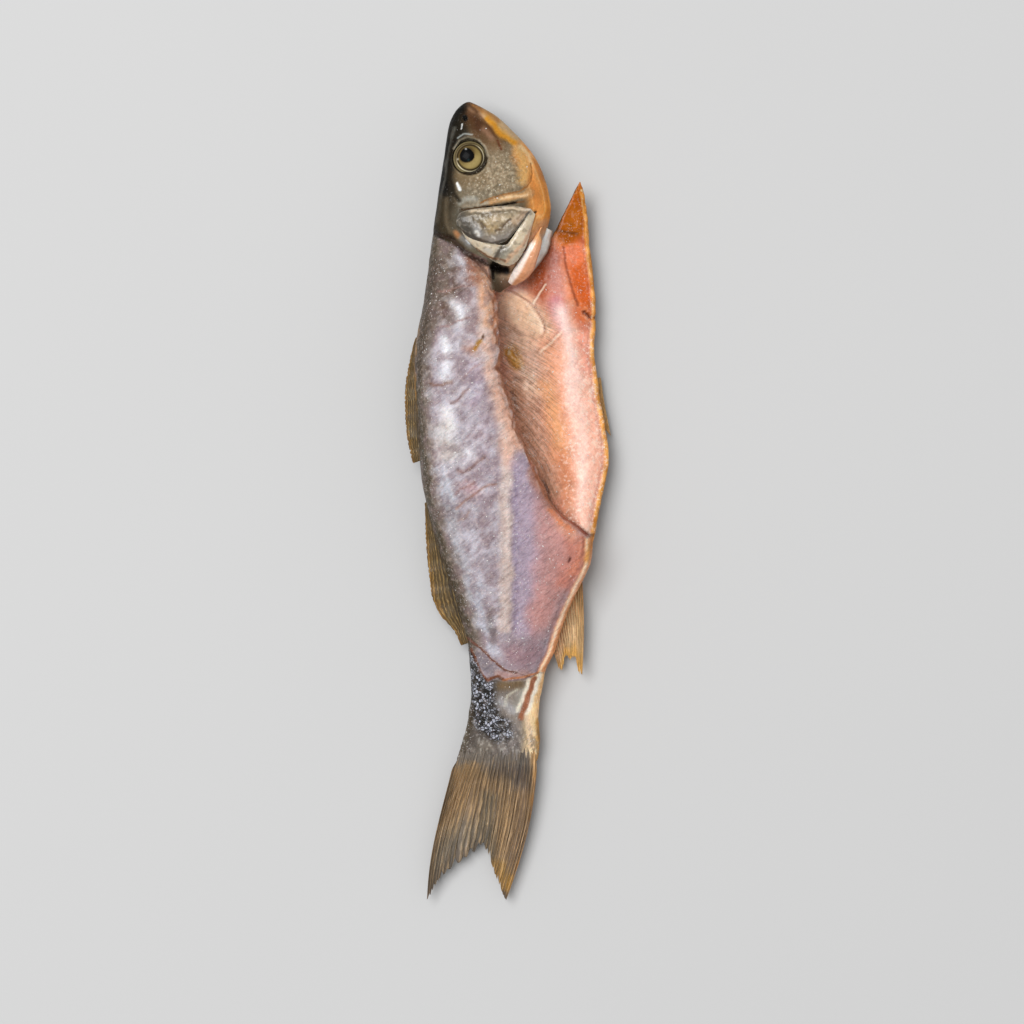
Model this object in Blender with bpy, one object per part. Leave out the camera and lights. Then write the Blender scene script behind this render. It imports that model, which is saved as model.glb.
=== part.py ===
"""A whole smoked fish, peeled and split along the belly, lying on its side.

The snout points to +Y, the back to -X and the belly to +X. The table is the plane Z = 0. The body is one
solid: the head, the peeled trunk with its flat underside, the far belly wall that lies open beside the cut,
and the tail stalk. The eyes, the gill plates and the fins are separate solids that lie on it.
"""

import math

import bmesh
import bpy
from mathutils import Vector
from mathutils.bvhtree import BVHTree

MM = 0.001  # every size below is in millimetres

# Driving dimensions.
SNOUT_Y = 160.0  # the tip of the snout
STALK_END_Y = -104.0  # where the tail stalk ends and the tail fin begins
TAIL_TIP_Y = -160.0
GAP = 0.35  # clearance that separate solids keep
EYE_CENTRE = (-15.1, 137.6)
EYE_RADIUS = 6.6
EYE_HALF_HEIGHT = 4.4
EYE_PROUD = 1.5  # how far an eye bulges out of its cheek
MEMBRANE_RADIUS = 2.6
MEMBRANE_FRONT, MEMBRANE_REAR = (13.6, 108.6), (2.2, 88.4)  # the fold's two ends
PLATE_LIFT = 0.8  # how far the gill plates stay off the skin they lie on
PLATE_EDGE = 0.5  # a gill plate's thickness at its edge
BACK_FIN_THICKNESS = 2.0
BELLY_FIN_THICKNESS = 1.7
TAIL_FIN_THICKNESS = 3.0
FIN_TAPER = 0.6  # the share of its thickness that a fin loses from its root to its tips

# Outlines and heights as (Y, value) pairs from the snout to the tail, with a smooth curve through them.
BACK = ((160, -16), (158, -19.2), (155, -21.6), (150, -23.6), (140, -25.2), (116, -28.8), (92, -32),
        (80, -33.6), (68, -36), (56, -37.6), (22, -35.6), (0, -32.8), (-20, -27.4), (-40, -20.6),
        (-58, -15.8), (-76, -14.4), (-86, -15.6), (-94, -17.6), (-104, -20.6))
THROAT = ((160, -15.6), (158, -11.5), (155, -5.8), (150, -0.2), (140, 9), (130, 14.4), (118, 17.2),
          (112, 16.6), (104, 14), (96, 10), (90, 5.6), (84, -3))
HEAD_TOP = ((160, 16.8), (158, 19.5), (155, 22), (150, 25), (142, 28.2), (132, 31), (120, 32.6),
            (110, 31.8), (100, 28), (90, 22), (84, 19))
HEAD_BOTTOM = ((160, 14.6), (158, 12.6), (155, 10.6), (150, 8), (142, 5.4), (132, 3.4), (120, 1.8),
               (100, 0.6), (84, 0.4))
CUT_EDGE = ((106, -13), (95, -7.4), (85, -6), (65, -4.4), (48, -3), (34, 1.4), (24, 4.4), (14, 9.6),
            (6, 13.6), (-1, 17.6), (-6, 22.8), (-10, 29), (-14, 33), (-20, 32.6), (-26, 30.6),
            (-34, 26.6), (-44, 22), (-54, 18.2), (-64, 15.7), (-76, 13.2), (-86, 11.9), (-96, 12.6),
            (-104, 11.8))
TRUNK_TOP = ((106, 27), (98, 31), (80, 34.5), (60, 36), (40, 36.5), (20, 36), (0, 34), (-20, 30.5),
             (-40, 26), (-56, 21.5), (-66, 18.5), (-76, 16), (-90, 13), (-104, 9.6))
TRUNK_MIDDLE = ((106, 15), (60, 15.5), (20, 15.5), (-20, 13), (-56, 10), (-76, 9), (-104, 7.4))
TRUNK_BOTTOM = ((106, 0), (-36, 0), (-48, 0.3), (-60, 1.4), (-80, 3.8), (-104, 5.2))
CUT_SQUARENESS = ((106, 4), (90, 5), (10, 5), (-4, 3.6), (-14, 2.4), (-30, 2.2), (-104, 2.2))
RIM = ((129, 28.8), (123, 30.6), (115, 32), (104, 32.5), (85, 34.8), (72, 35.2), (60, 34.5), (52, 35.6),
       (42, 36.8), (32, 38.6), (22, 40.2), (14, 40.1), (6, 38.4), (-2, 36.6), (-12, 35), (-20, 33.2),
       (-26, 30.6))
VALLEY_HEIGHT = ((129, 9), (90, 7), (20, 7), (2, 9), (-8, 13), (-26, 15))
RIDGE_HEIGHT = ((129, 12), (90, 13), (20, 14), (0, 15), (-10, 16), (-26, 15))
RIM_HEIGHT = ((129, 12), (100, 9.5), (20, 10), (0, 11), (-26, 12))

# The belly wall's front edge, from under the trunk to the pointed throat flap: (share across, X, Y).
WALL_FRONT = ((0.0, -14, 82), (0.25, -3, 85), (0.5, 9, 93), (0.7, 17.5, 106), (0.8, 20, 111),
              (1.0, 28.8, 128.8))
WALL_TUCK = 9.0  # how far the belly wall runs on under the trunk
WALL_STRAIGHT_Y = 70.0  # from here to the rear its rows run straight across
WALL_BEND = 0.36  # the share of its rows that lie ahead of there
WALL_END_Y = -26.0
WALL_THICKNESS = ((0, 5), (0.5, 4.5), (0.8, 4.5), (1, 2.2))  # by the share across
WALL_CLEARANCE = 0.4  # how far the wall's underside stays off the table

# The powers of the superellipses that make a section: 2 is round and 5 is nearly square.
BACK_POWER = 2.2
UNDER_POWER = 3.0
HEAD_POWER = 2.3
FLATTENING = 1.08  # the underside is pushed down by this much and cut level

# The gill plates' edge lines, as (X, Y) points from the back to the throat.
MAIN_PLATE_FRONT = ((-17.4, 112.4), (-15.6, 116.0), (-8, 117.6), (1, 118.3), (9.4, 117.2))
MAIN_PLATE_REAR = ((-17.2, 111), (-13.4, 105.6), (-6.6, 103.4), (0.2, 105.2), (8.6, 116.0))
LOWER_PLATE_FRONT = ((-13.4, 103.6), (-7.2, 102.2), (-1.2, 102.2), (2.0, 104.8), (10.6, 115.6))
LOWER_PLATE_REAR = ((-12.6, 101.2), (-8.2, 97.6), (-1.0, 96.2), (5.4, 102.2), (11.8, 114.2))

# The back fins' outer edges, as (Y, X) pairs.
BACK_FIN_FRONT = ((70, -36.3), (58, -39.4), (46, -41.2), (30, -40.7), (20, -38.9), (13, -36.6))
BACK_FIN_REAR = ((4, -33.2), (-10, -33.1), (-20, -32.5), (-29, -31.5), (-37, -30.3), (-44, -27),
                 (-50, -21.8), (-60, -17.2))

# The ragged tips of the fin behind the vent and of the tail fin, by the share along the fin.
BELLY_FIN_TIP_Y = ((0, -67), (0.16, -67.5), (0.3, -62), (0.5, -63.5), (0.7, -62.5), (0.84, -68.5), (1, -69.5))
TAIL_TIPS_X = ((0, -32.6), (0.25, -26), (0.5, -10.4), (0.75, -5), (1, -0.8))
TAIL_TIPS_Y = ((0, TAIL_TIP_Y), (0.12, -155.5), (0.3, -147.5), (0.44, -140.6), (0.5, -138.2),
               (0.56, -141), (0.75, -150.5), (0.92, -157.5), (1, TAIL_TIP_Y))
TAIL_BULGE = ((0, -2.8), (0.5, 0), (1, 3))

COLOURS = {
    "flesh": (0.62, 0.47, 0.47),
    "gill": (0.38, 0.33, 0.26),
    "membrane": (0.75, 0.55, 0.45),
    "fin": (0.42, 0.32, 0.17),
    "eye": (0.45, 0.40, 0.22),
}


def smooth_curve(keys):
    """A function through (place, value) pairs, with a slope at each pair taken from its neighbours."""
    keys = sorted(keys)
    places = [k[0] for k in keys]
    values = [k[1] for k in keys]
    last = len(keys) - 1
    slopes = []
    for i in range(len(keys)):
        a, b = max(i - 1, 0), min(i + 1, last)
        slopes.append((values[b] - values[a]) / (places[b] - places[a]))

    def at(place):
        if place <= places[0]:
            return values[0]
        if place >= places[-1]:
            return values[-1]
        i = next(n for n in range(last) if places[n + 1] >= place)
        span = places[i + 1] - places[i]
        t = (place - places[i]) / span
        rise = values[i + 1] - values[i]
        start = slopes[i] * span
        end = slopes[i + 1] * span
        return values[i] + t * (start + t * ((3 * rise - 2 * start - end) + t * (start + end - 2 * rise)))

    return at


back = smooth_curve(BACK)
cut_edge = smooth_curve(CUT_EDGE)
rim = smooth_curve(RIM)


def material(name):
    """The plain material of that name, made once."""
    found = bpy.data.materials.get(name)
    if found:
        return found
    made = bpy.data.materials.new(name)
    made.use_nodes = True
    shader = made.node_tree.nodes["Principled BSDF"]
    shader.inputs["Base Color"].default_value = (*COLOURS[name], 1.0)
    shader.inputs["Roughness"].default_value = 0.4
    return made


def add_object(name, bm, material_name, collection):
    """Puts a finished bmesh in the scene as a smooth-shaded object."""
    bmesh.ops.recalc_face_normals(bm, faces=bm.faces)
    mesh = bpy.data.meshes.new(name)
    bm.to_mesh(mesh)
    bm.free()
    mesh.shade_smooth()
    mesh.materials.append(material(material_name))
    made = bpy.data.objects.new(name, mesh)
    collection.objects.link(made)
    return made


def loft(rings):
    """A closed bmesh through rings of equally many points, with flat ends."""
    bm = bmesh.new()
    loops = []
    for ring in rings:
        verts = [bm.verts.new(Vector(p) * MM) for p in ring]
        loops.append(verts)
    around = len(loops[0])
    for first, second in zip(loops, loops[1:]):
        for i in range(around):
            j = (i + 1) % around
            bm.faces.new((first[i], first[j], second[j], second[i]))
    bm.faces.new(loops[0])
    bm.faces.new(loops[-1])
    return bm


def section(y, left, right, top, middle, bottom, cut_power, around, shear=None):
    """One closed cross-section as points: a superellipse on each side, with a flattened underside."""
    centre, half = (left + right) / 2, (right - left) / 2
    points = []
    for i in range(around):
        angle = math.pi * (1 - 2 * i / around)
        c, s = math.cos(angle), math.sin(angle)
        power = UNDER_POWER if s < 0 else (cut_power if c > 0 else BACK_POWER)
        x = centre + half * math.copysign(abs(c) ** (2 / power), c)
        if s >= 0:
            z = middle + (top - middle) * s ** (2 / power)
        else:
            z = middle - (middle - bottom) * min(1.0, FLATTENING * (-s) ** (2 / power))
        points.append((x, y + (shear(x, y) if shear else 0.0), z))
    return points


def make_trunk(collection):
    """The peeled flesh from the nape to the tail stalk, with its steep cut side over the belly cavity."""
    top, middle, bottom = smooth_curve(TRUNK_TOP), smooth_curve(TRUNK_MIDDLE), smooth_curve(TRUNK_BOTTOM)
    power = smooth_curve(CUT_SQUARENESS)
    front_y, stations = CUT_EDGE[0][0], 46

    def slant(x, y):
        """The front end slants back towards the belly."""
        fade = max(0.0, (y - 80) / (front_y - 80))
        return -0.45 * fade * max(0.0, x - back(y))

    rings = []
    for n in range(stations + 1):
        y = front_y + (STALK_END_Y - front_y) * n / stations
        rings.append(section(y, back(y), cut_edge(y), top(y), middle(y), max(0.0, bottom(y)), power(y),
                             36, slant))
    return add_object("body", loft(rings), "flesh", collection)


def make_head(collection):
    """The head, from the snout to under the gill plates."""
    right, top, bottom = smooth_curve(THROAT), smooth_curve(HEAD_TOP), smooth_curve(HEAD_BOTTOM)
    rear_y = THROAT[-1][0]
    rings = []
    steps = 20
    for n in range(steps + 1):
        y = SNOUT_Y - (SNOUT_Y - rear_y) * (n / steps) ** 1.35
        height, floor = top(y), bottom(y)
        rings.append(section(y, back(y), right(y), height, (height + floor) / 2, floor, HEAD_POWER, 28))
    return add_object("head_shape", loft(rings), "flesh", collection)


def wall_place(across, along):
    """Plan position (x, y) on the belly wall: across 0 under the trunk to 1 at the rim, along 0 to 1."""
    front_x = smooth_curve([(s, x) for s, x, _ in WALL_FRONT])(across)
    front_y = smooth_curve([(s, y) for s, _, y in WALL_FRONT])(across)
    if along < WALL_BEND:
        t = along / WALL_BEND
        straight_y = WALL_STRAIGHT_Y
    else:
        t = 1.0
        beyond = (along - WALL_BEND) / (1 - WALL_BEND)
        straight_y = WALL_STRAIGHT_Y + (WALL_END_Y - WALL_STRAIGHT_Y) * beyond
    inner = cut_edge(straight_y) - WALL_TUCK
    straight_x = inner + (rim(straight_y) - inner) * across
    y = front_y + (straight_y - front_y) * t
    x = front_x + (straight_x - front_x) * t
    if across == 1.0:
        x = rim(y)
    return x, y


def wall_height(across, y):
    """Height of the belly wall's inner face: a valley beside the cut, a ridge, and the rim."""
    valley, ridge = smooth_curve(VALLEY_HEIGHT)(y), smooth_curve(RIDGE_HEIGHT)(y)
    edge = smooth_curve(RIM_HEIGHT)(y)
    return smooth_curve(((0, valley), (0.35, valley), (0.75, ridge), (0.93, edge + 1), (1, edge)))(across)


def make_belly_wall(collection):
    """The far belly wall, thin and open, which ends in the pointed throat flap."""
    columns, rows = 12, 26
    thickness = smooth_curve(WALL_THICKNESS)
    bm = bmesh.new()
    for lower in (False, True):
        grid = bmesh.ops.create_grid(bm, x_segments=columns, y_segments=rows, size=0.5)["verts"]
        for vert in grid:
            across, along = vert.co.x + 0.5, 0.5 - vert.co.y
            x, y = wall_place(round(across, 6), along)
            z = wall_height(across, y)
            if lower:
                z = max(WALL_CLEARANCE, z - thickness(across))
            vert.co = Vector((x, y, z)) * MM
    bmesh.ops.bridge_loops(bm, edges=[e for e in bm.edges if e.is_boundary])
    return add_object("wall_shape", bm, "flesh", collection)


def boolean(target, other, operation):
    """Joins other to target, or cuts it out of target, and hides other as a helper."""
    modifier = target.modifiers.new(operation.lower() + "_" + other.name, "BOOLEAN")
    modifier.operation = operation
    modifier.solver = "EXACT"
    modifier.object = other
    other.hide_render = True
    other.display_type = "WIRE"


def ellipsoid(name, centre, radius, half_height, material_name, collection):
    """An upright ellipsoid, round in plan."""
    bm = bmesh.new()
    bmesh.ops.create_uvsphere(bm, u_segments=18, v_segments=10, radius=1.0)
    for vert in bm.verts:
        vert.co = (Vector((vert.co.x * radius, vert.co.y * radius, vert.co.z * half_height)) + centre) * MM
    return add_object(name, bm, material_name, collection)


def surface_of(obj):
    """The evaluated object's surface, to measure heights on."""
    graph = bpy.context.evaluated_depsgraph_get()
    return BVHTree.FromObject(obj, graph)


def height_at(surface, x, y, side=1):
    """Height in millimetres of the surface over (side 1) or under (side -1) a place, or None beside it."""
    start = Vector((x * MM, y * MM, side * 0.2))
    hit = surface.ray_cast(start, Vector((0, 0, -side)))[0]
    return hit.z / MM if hit else None


def edge_line(points):
    """A function of 0 to 1 that runs smoothly through (X, Y) points."""
    last = len(points) - 1
    xs = smooth_curve([(n / last, p[0]) for n, p in enumerate(points)])
    ys = smooth_curve([(n / last, p[1]) for n, p in enumerate(points)])
    return lambda t: Vector((xs(t), ys(t)))


def plate(name, surface, front, rear, thickness, material_name, collection):
    """A thin domed bony plate between a front and a rear edge line, draped over the body."""
    columns, rows = 14, 5
    front_line, rear_line = edge_line(front), edge_line(rear)
    bm = bmesh.new()
    for upper in (False, True):
        grid = bmesh.ops.create_grid(bm, x_segments=columns, y_segments=rows, size=0.5)["verts"]
        for vert in grid:
            along, across = vert.co.x + 0.5, vert.co.y + 0.5
            spot = front_line(along).lerp(rear_line(along), across)
            dome = (math.sin(math.pi * along) * math.sin(math.pi * across)) ** 0.35
            z = height_at(surface, spot.x, spot.y) + PLATE_LIFT
            if upper:
                z += PLATE_EDGE + (thickness - PLATE_EDGE) * dome
            vert.co = Vector((spot.x, spot.y, z)) * MM
    bmesh.ops.bridge_loops(bm, edges=[e for e in bm.edges if e.is_boundary])
    return add_object(name, bm, material_name, collection)


def blade(name, place, thickness, columns, rows, collection, ribs=0):
    """A fin. place(along, out) gives a point: along 0 to 1 on its root, out 0 at the root to 1 at the tips.
    It is thickest at the root, and ribs rays stand proud of its faces."""
    bm = bmesh.new()
    for lower in (False, True):
        grid = bmesh.ops.create_grid(bm, x_segments=columns, y_segments=rows, size=0.5)["verts"]
        for vert in grid:
            along, out = vert.co.x + 0.5, vert.co.y + 0.5
            point = Vector(place(along, out))
            half = thickness / 2 * (1 - FIN_TAPER * out)
            if ribs:
                half *= 0.8 + 0.2 * math.cos(math.tau * ribs * along)
            point.z += -half if lower else half
            vert.co = point * MM
    bmesh.ops.bridge_loops(bm, edges=[e for e in bm.edges if e.is_boundary])
    return add_object(name, bm, "fin", collection)


def make_back_fins(collection):
    """The two folded back fins, which lie along the back's edge."""
    middle = smooth_curve(TRUNK_MIDDLE)
    def folded(first_y, last_y, edge_pairs):
        edge = smooth_curve(edge_pairs)

        def place(along, out):
            y = first_y + (last_y - first_y) * along
            root = back(y) - GAP - 0.1
            tip = min(edge(y), root - 0.6)
            return root + (tip - root) * out, y - 1.5 * out, middle(y) - 1.5 * out

        return place

    blade("back_fin_front", folded(67, 17, BACK_FIN_FRONT), BACK_FIN_THICKNESS, 14, 2, collection)
    blade("back_fin_rear", folded(1, -56, BACK_FIN_REAR), BACK_FIN_THICKNESS, 16, 3, collection)


def make_belly_fins(collection):
    """The narrow fin beside the rim, and the ragged fin behind the vent."""

    def narrow(along, out):
        y = 50 - 20 * along
        root = rim(y) + GAP + 0.2
        return root + (0.9 + 0.9 * along) * out, y - 3.4 * along * out, 5.5 - 1.5 * out

    blade("belly_fin_front", narrow, BELLY_FIN_THICKNESS, 8, 2, collection)

    root_x = smooth_curve([(y, x + GAP + 0.5) for y, x in CUT_EDGE if y < -12])
    middle = smooth_curve(TRUNK_MIDDLE)
    tip_y = smooth_curve(BELLY_FIN_TIP_Y)

    def ragged(along, out):
        """Rays run towards the tail from a root that slants along the belly."""
        start_y = -55 + 29 * along
        start_x = root_x(start_y)
        end_x = 20.2 + 9.6 * along
        x = start_x + (end_x - start_x) * out + 0.8 * math.sin(math.pi * out) * along
        return x, start_y + (tip_y(along) - start_y) * out, middle(start_y) - 3 - 2 * out

    blade("belly_fin_rear", ragged, BELLY_FIN_THICKNESS, 20, 4, collection, ribs=5)


def make_tail_fin(collection):
    """The forked tail fin, a fan of rays with a ragged edge."""
    root_y = STALK_END_Y - GAP
    root_left, root_right = BACK[-1][1] + 0.4, CUT_EDGE[-1][1] - 0.4
    tip_x, tip_y, bulge = smooth_curve(TAIL_TIPS_X), smooth_curve(TAIL_TIPS_Y), smooth_curve(TAIL_BULGE)

    def place(along, out):
        start_x = root_left + (root_right - root_left) * along
        x = start_x + (tip_x(along) - start_x) * out + bulge(along) * math.sin(math.pi * out)
        y = root_y + (tip_y(along) - root_y) * out
        return x, y, 7.3 - 1.8 * out + 0.6 * math.sin(2 * math.pi * along) * out

    blade("tail_fin", place, TAIL_FIN_THICKNESS, 36, 5, collection, ribs=9)


def make_gill_plates(surface, collection):
    """The gill cover's main plate and the narrow plate that edges it behind."""
    plate("gill_plate", surface, MAIN_PLATE_FRONT, MAIN_PLATE_REAR, 2.4, "gill", collection)
    plate("gill_plate_lower", surface, LOWER_PLATE_FRONT, LOWER_PLATE_REAR, 1.8, "gill", collection)


def make_gill_membrane(surface, collection):
    """The pale rolled fold at the gill opening, a tube thinner at its ends that lies on the throat."""
    fold = bpy.data.curves.new("gill_membrane", "CURVE")
    fold.dimensions = "3D"
    fold.bevel_depth = MEMBRANE_RADIUS * MM
    fold.bevel_resolution = 3
    fold.use_fill_caps = True
    fold.materials.append(material("membrane"))
    line = fold.splines.new("POLY")
    steps = 8
    line.points.add(steps)
    start, end = Vector(MEMBRANE_FRONT), Vector(MEMBRANE_REAR)
    for n in range(steps + 1):
        t = n / steps
        spot = start.lerp(end, t)
        swell = 0.35 + 0.65 * math.sin(math.pi * (0.12 + 0.76 * t))
        above = Vector((spot.x * MM, spot.y * MM, 0.2))
        hit, normal = surface.ray_cast(above, Vector((0, 0, -1)))[:2]
        line.points[n].co = (*(hit + normal * (MEMBRANE_RADIUS * swell + 2 * GAP) * MM), 1)
        line.points[n].radius = swell
    collection.objects.link(bpy.data.objects.new("gill_membrane", fold))


def main():
    for old in list(bpy.data.objects):
        bpy.data.objects.remove(old)
    parts = bpy.data.collections.new("smoked_fish")
    helpers = bpy.data.collections.new("helpers")
    for collection in (parts, helpers):
        bpy.context.scene.collection.children.link(collection)
    body = make_trunk(parts)
    boolean(body, make_belly_wall(helpers), "UNION")
    boolean(body, make_head(helpers), "UNION")
    bpy.context.view_layer.update()
    surface = surface_of(body)
    for name, side in (("eye", 1), ("eye_far", -1)):
        cheek = height_at(surface, *EYE_CENTRE, side)
        middle = Vector((*EYE_CENTRE, cheek + side * (EYE_PROUD - EYE_HALF_HEIGHT)))
        wide, tall = EYE_RADIUS + GAP, EYE_HALF_HEIGHT + GAP
        socket = ellipsoid(name + "_socket", middle, wide, tall, "flesh", helpers)
        boolean(body, socket, "DIFFERENCE")
        ellipsoid(name, middle, EYE_RADIUS, EYE_HALF_HEIGHT, "eye", parts)
    make_gill_plates(surface, parts)
    make_gill_membrane(surface, parts)
    make_back_fins(parts)
    make_belly_fins(parts)
    make_tail_fin(parts)


main()
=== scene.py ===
"""The looks of a whole smoked fish that lies on its side, peeled and split along the belly.

The snout points to +Y, the back to -X and the opened belly to +X, and the fish lies on the plane Z = 0. Each
piece is shaped in millimetres, from the fixed model's own solids or from a grid, and then painted: broad
colours lie on its points, and its finish adds the fine pattern, the gloss and the finest relief.
"""

import logging
import math
from collections.abc import Callable
from dataclasses import dataclass, field
from enum import Enum

import bmesh
import bpy
import numpy as np
from mathutils import Matrix, Vector, noise
from mathutils.bvhtree import BVHTree


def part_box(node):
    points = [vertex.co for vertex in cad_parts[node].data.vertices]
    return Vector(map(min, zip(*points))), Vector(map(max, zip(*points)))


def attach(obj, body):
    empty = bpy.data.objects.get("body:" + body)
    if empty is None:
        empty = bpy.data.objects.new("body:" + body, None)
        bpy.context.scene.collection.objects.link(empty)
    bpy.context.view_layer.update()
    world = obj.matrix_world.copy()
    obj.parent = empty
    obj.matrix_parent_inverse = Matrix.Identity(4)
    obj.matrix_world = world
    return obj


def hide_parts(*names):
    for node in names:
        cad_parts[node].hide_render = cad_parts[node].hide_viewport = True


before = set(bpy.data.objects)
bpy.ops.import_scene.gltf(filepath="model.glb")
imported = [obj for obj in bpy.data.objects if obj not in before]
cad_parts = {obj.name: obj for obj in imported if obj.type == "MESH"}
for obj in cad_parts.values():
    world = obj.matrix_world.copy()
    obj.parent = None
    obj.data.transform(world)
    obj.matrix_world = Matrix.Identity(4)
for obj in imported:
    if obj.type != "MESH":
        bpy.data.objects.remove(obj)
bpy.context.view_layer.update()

LOG = logging.getLogger("smoked_fish")
MM = 0.001
# Where the camera stands, and the height at which its view is true to scale, in millimetres.
CAMERA_PLACE = (1.6, -4.0, 1562.0)
SCALE_HEIGHT = 12.0
SEED = 7
ROOT = "root"

Place = tuple[float, float]
Line = tuple[Place, ...]
Rgb = tuple[int, int, int]
Array = np.ndarray


class Slot(Enum):
    """The record's material slots."""

    FLESH = "flesh"
    EYE = "eye"
    GILL = "gill_bone"
    MEMBRANE = "membrane"
    FIN = "fin"
    TAIL = "tail"


class Side(Enum):
    """The two sides of the fish as it lies."""

    UPPER = 1
    LOWER = -1


# --- Curves and distances ---------------------------------------------------------------------------------


class Profile:
    """A smooth curve through (place, value) pairs, level beyond its ends."""

    def __init__(self, *keys: Place) -> None:
        """Sorts the pairs and takes each pair's slope from its neighbours.

        Args:
            keys: the (place, value) pairs, in any order.
        """
        ordered = np.array(sorted(keys), float)
        self.places, self.values = ordered[:, 0], ordered[:, 1]
        last = len(ordered) - 1
        before = np.maximum(np.arange(last + 1) - 1, 0)
        after = np.minimum(np.arange(last + 1) + 1, last)
        rise = self.values[after] - self.values[before]
        self.slopes = rise / (self.places[after] - self.places[before])

    def __call__(self, place: Array | float) -> Array:
        """Returns the value at each place."""
        clipped = np.clip(place, self.places[0], self.places[-1])
        i = np.clip(np.searchsorted(self.places, clipped, "right") - 1, 0, len(self.places) - 2)
        span = self.places[i + 1] - self.places[i]
        t = (clipped - self.places[i]) / span
        rise = self.values[i + 1] - self.values[i]
        start, end = self.slopes[i] * span, self.slopes[i + 1] * span
        bend, twist = 3 * rise - 2 * start - end, start + end - 2 * rise
        return self.values[i] + t * (start + t * (bend + t * twist))


# Edges of the fish, each as X by Y in millimetres: the back, the cut beside the cavity with the belly behind
# it, the belly wall's rim and the throat.
BACK = Profile((160, -16), (158, -19.2), (155, -21.6), (150, -23.6), (140, -25.2), (116, -28.8), (92, -32),
               (80, -33.6), (68, -36), (56, -37.6), (22, -35.6), (0, -32.8), (-20, -27.4), (-40, -20.6),
               (-58, -15.8), (-76, -14.4), (-86, -15.6), (-94, -17.6), (-104, -20.6))
CUT_EDGE = Profile((106, -13), (95, -7.4), (85, -6), (65, -4.4), (48, -3), (34, 1.4), (24, 4.4), (14, 9.6),
                   (6, 13.6), (-1, 17.6), (-6, 22.8), (-10, 29), (-14, 33), (-20, 32.6), (-26, 30.6),
                   (-34, 26.6), (-44, 22), (-54, 18.2), (-64, 15.7), (-76, 13.2), (-86, 11.9), (-96, 12.6),
                   (-104, 11.8))
RIM = Profile((129, 28.8), (123, 30.6), (115, 32), (104, 32.5), (85, 34.8), (72, 35.2), (60, 34.5),
              (52, 35.6), (42, 36.8), (32, 38.6), (22, 40.2), (14, 40.1), (6, 38.4), (-2, 36.6), (-12, 35),
              (-20, 33.2), (-26, 30.6))
THROAT = Profile((160, -15.6), (158, -11.5), (155, -5.8), (150, -0.2), (140, 9), (130, 14.4), (118, 17.2),
                 (112, 16.6), (104, 14), (96, 10), (90, 5.6), (84, -3))
# Where the tail stalk's skin starts, as Y by X, and where the peeled flesh ends ahead of it.
STALK_EDGE = Profile((-17, -57.5), (-14.6, -60), (-8.6, -71.6), (-4.5, -70.2), (-0.4, -71.4), (6.7, -70.6),
                     (11.8, -68.6), (16, -65))
FLESH_END: Line = ((3.2, -68.2), (-1.6, -67), (-6, -63.4), (-10.6, -58.6), (-13, -57), (-18, -53))
# The height of the fish's middle, where its fins are rooted, as Z by Y.
MID_HEIGHT = Profile((106, 15), (60, 15.5), (20, 15.5), (-20, 13), (-56, 10), (-76, 9))
# The eye sockets' middle and radius, and how far the eyes and gill plates are moved along Y.
EYE_PLACE = (-15.0, 136.2)
SOCKET = 7.2
TOWARDS_TAIL = -1.4
# Where the head meets the peeled trunk.
SHOULDER: Line = ((-30, 107.4), (-26.8, 106.6), (-21.6, 104.6), (-16.7, 99.8), (-12.7, 97.4), (-8, 95))


def smooth_step(low: float, high: float, values: Array) -> Array:
    """Returns 0 below low and 1 above high with a smooth change between, or the reverse if low > high."""
    t = np.clip((values - low) / (high - low), 0, 1)
    return t * t * (3 - 2 * t)


def bell(distance: Array, width: float) -> Array:
    """Returns a soft bump: 1 where the distance is 0, and about a third at the width."""
    return np.exp(-((distance / width) ** 2))


def path_distance(places: Array, line: Line) -> Array:
    """Finds how far each place lies from a line of straight runs.

    Args:
        places: an N by 2 array.
        line: the line's corners.

    Returns:
        N distances, negative on the line's right side and positive on its left side.
    """
    nearest = np.full(len(places), 1e9)
    side = np.ones(len(places))
    for first, second in zip(line, line[1:]):
        start, run = np.array(first, float), np.array(second, float) - np.array(first, float)
        offset = places - start
        share = np.clip(offset @ run / (run @ run), 0, 1)
        gap = offset - share[:, None] * run
        distance = np.hypot(gap[:, 0], gap[:, 1])
        closer = distance < nearest
        nearest = np.where(closer, distance, nearest)
        side = np.where(closer, np.sign(run[0] * offset[:, 1] - run[1] * offset[:, 0]), side)
    return nearest * side


def linear(colour: Array) -> Array:
    """Returns screen colours of 0 to 1 as the linear colours that a shader works with."""
    return np.where(colour < 0.04045, colour / 12.92, ((np.maximum(colour, 0) + 0.055) / 1.055) ** 2.4)


def shade(*colour: int) -> tuple[float, float, float, float]:
    """Returns a screen colour of 0 to 255 as a linear colour with its alpha."""
    return (*(float(c) for c in linear(np.array(colour, float) / 255)), 1.0)


# --- Shader maths -----------------------------------------------------------------------------------------


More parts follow.
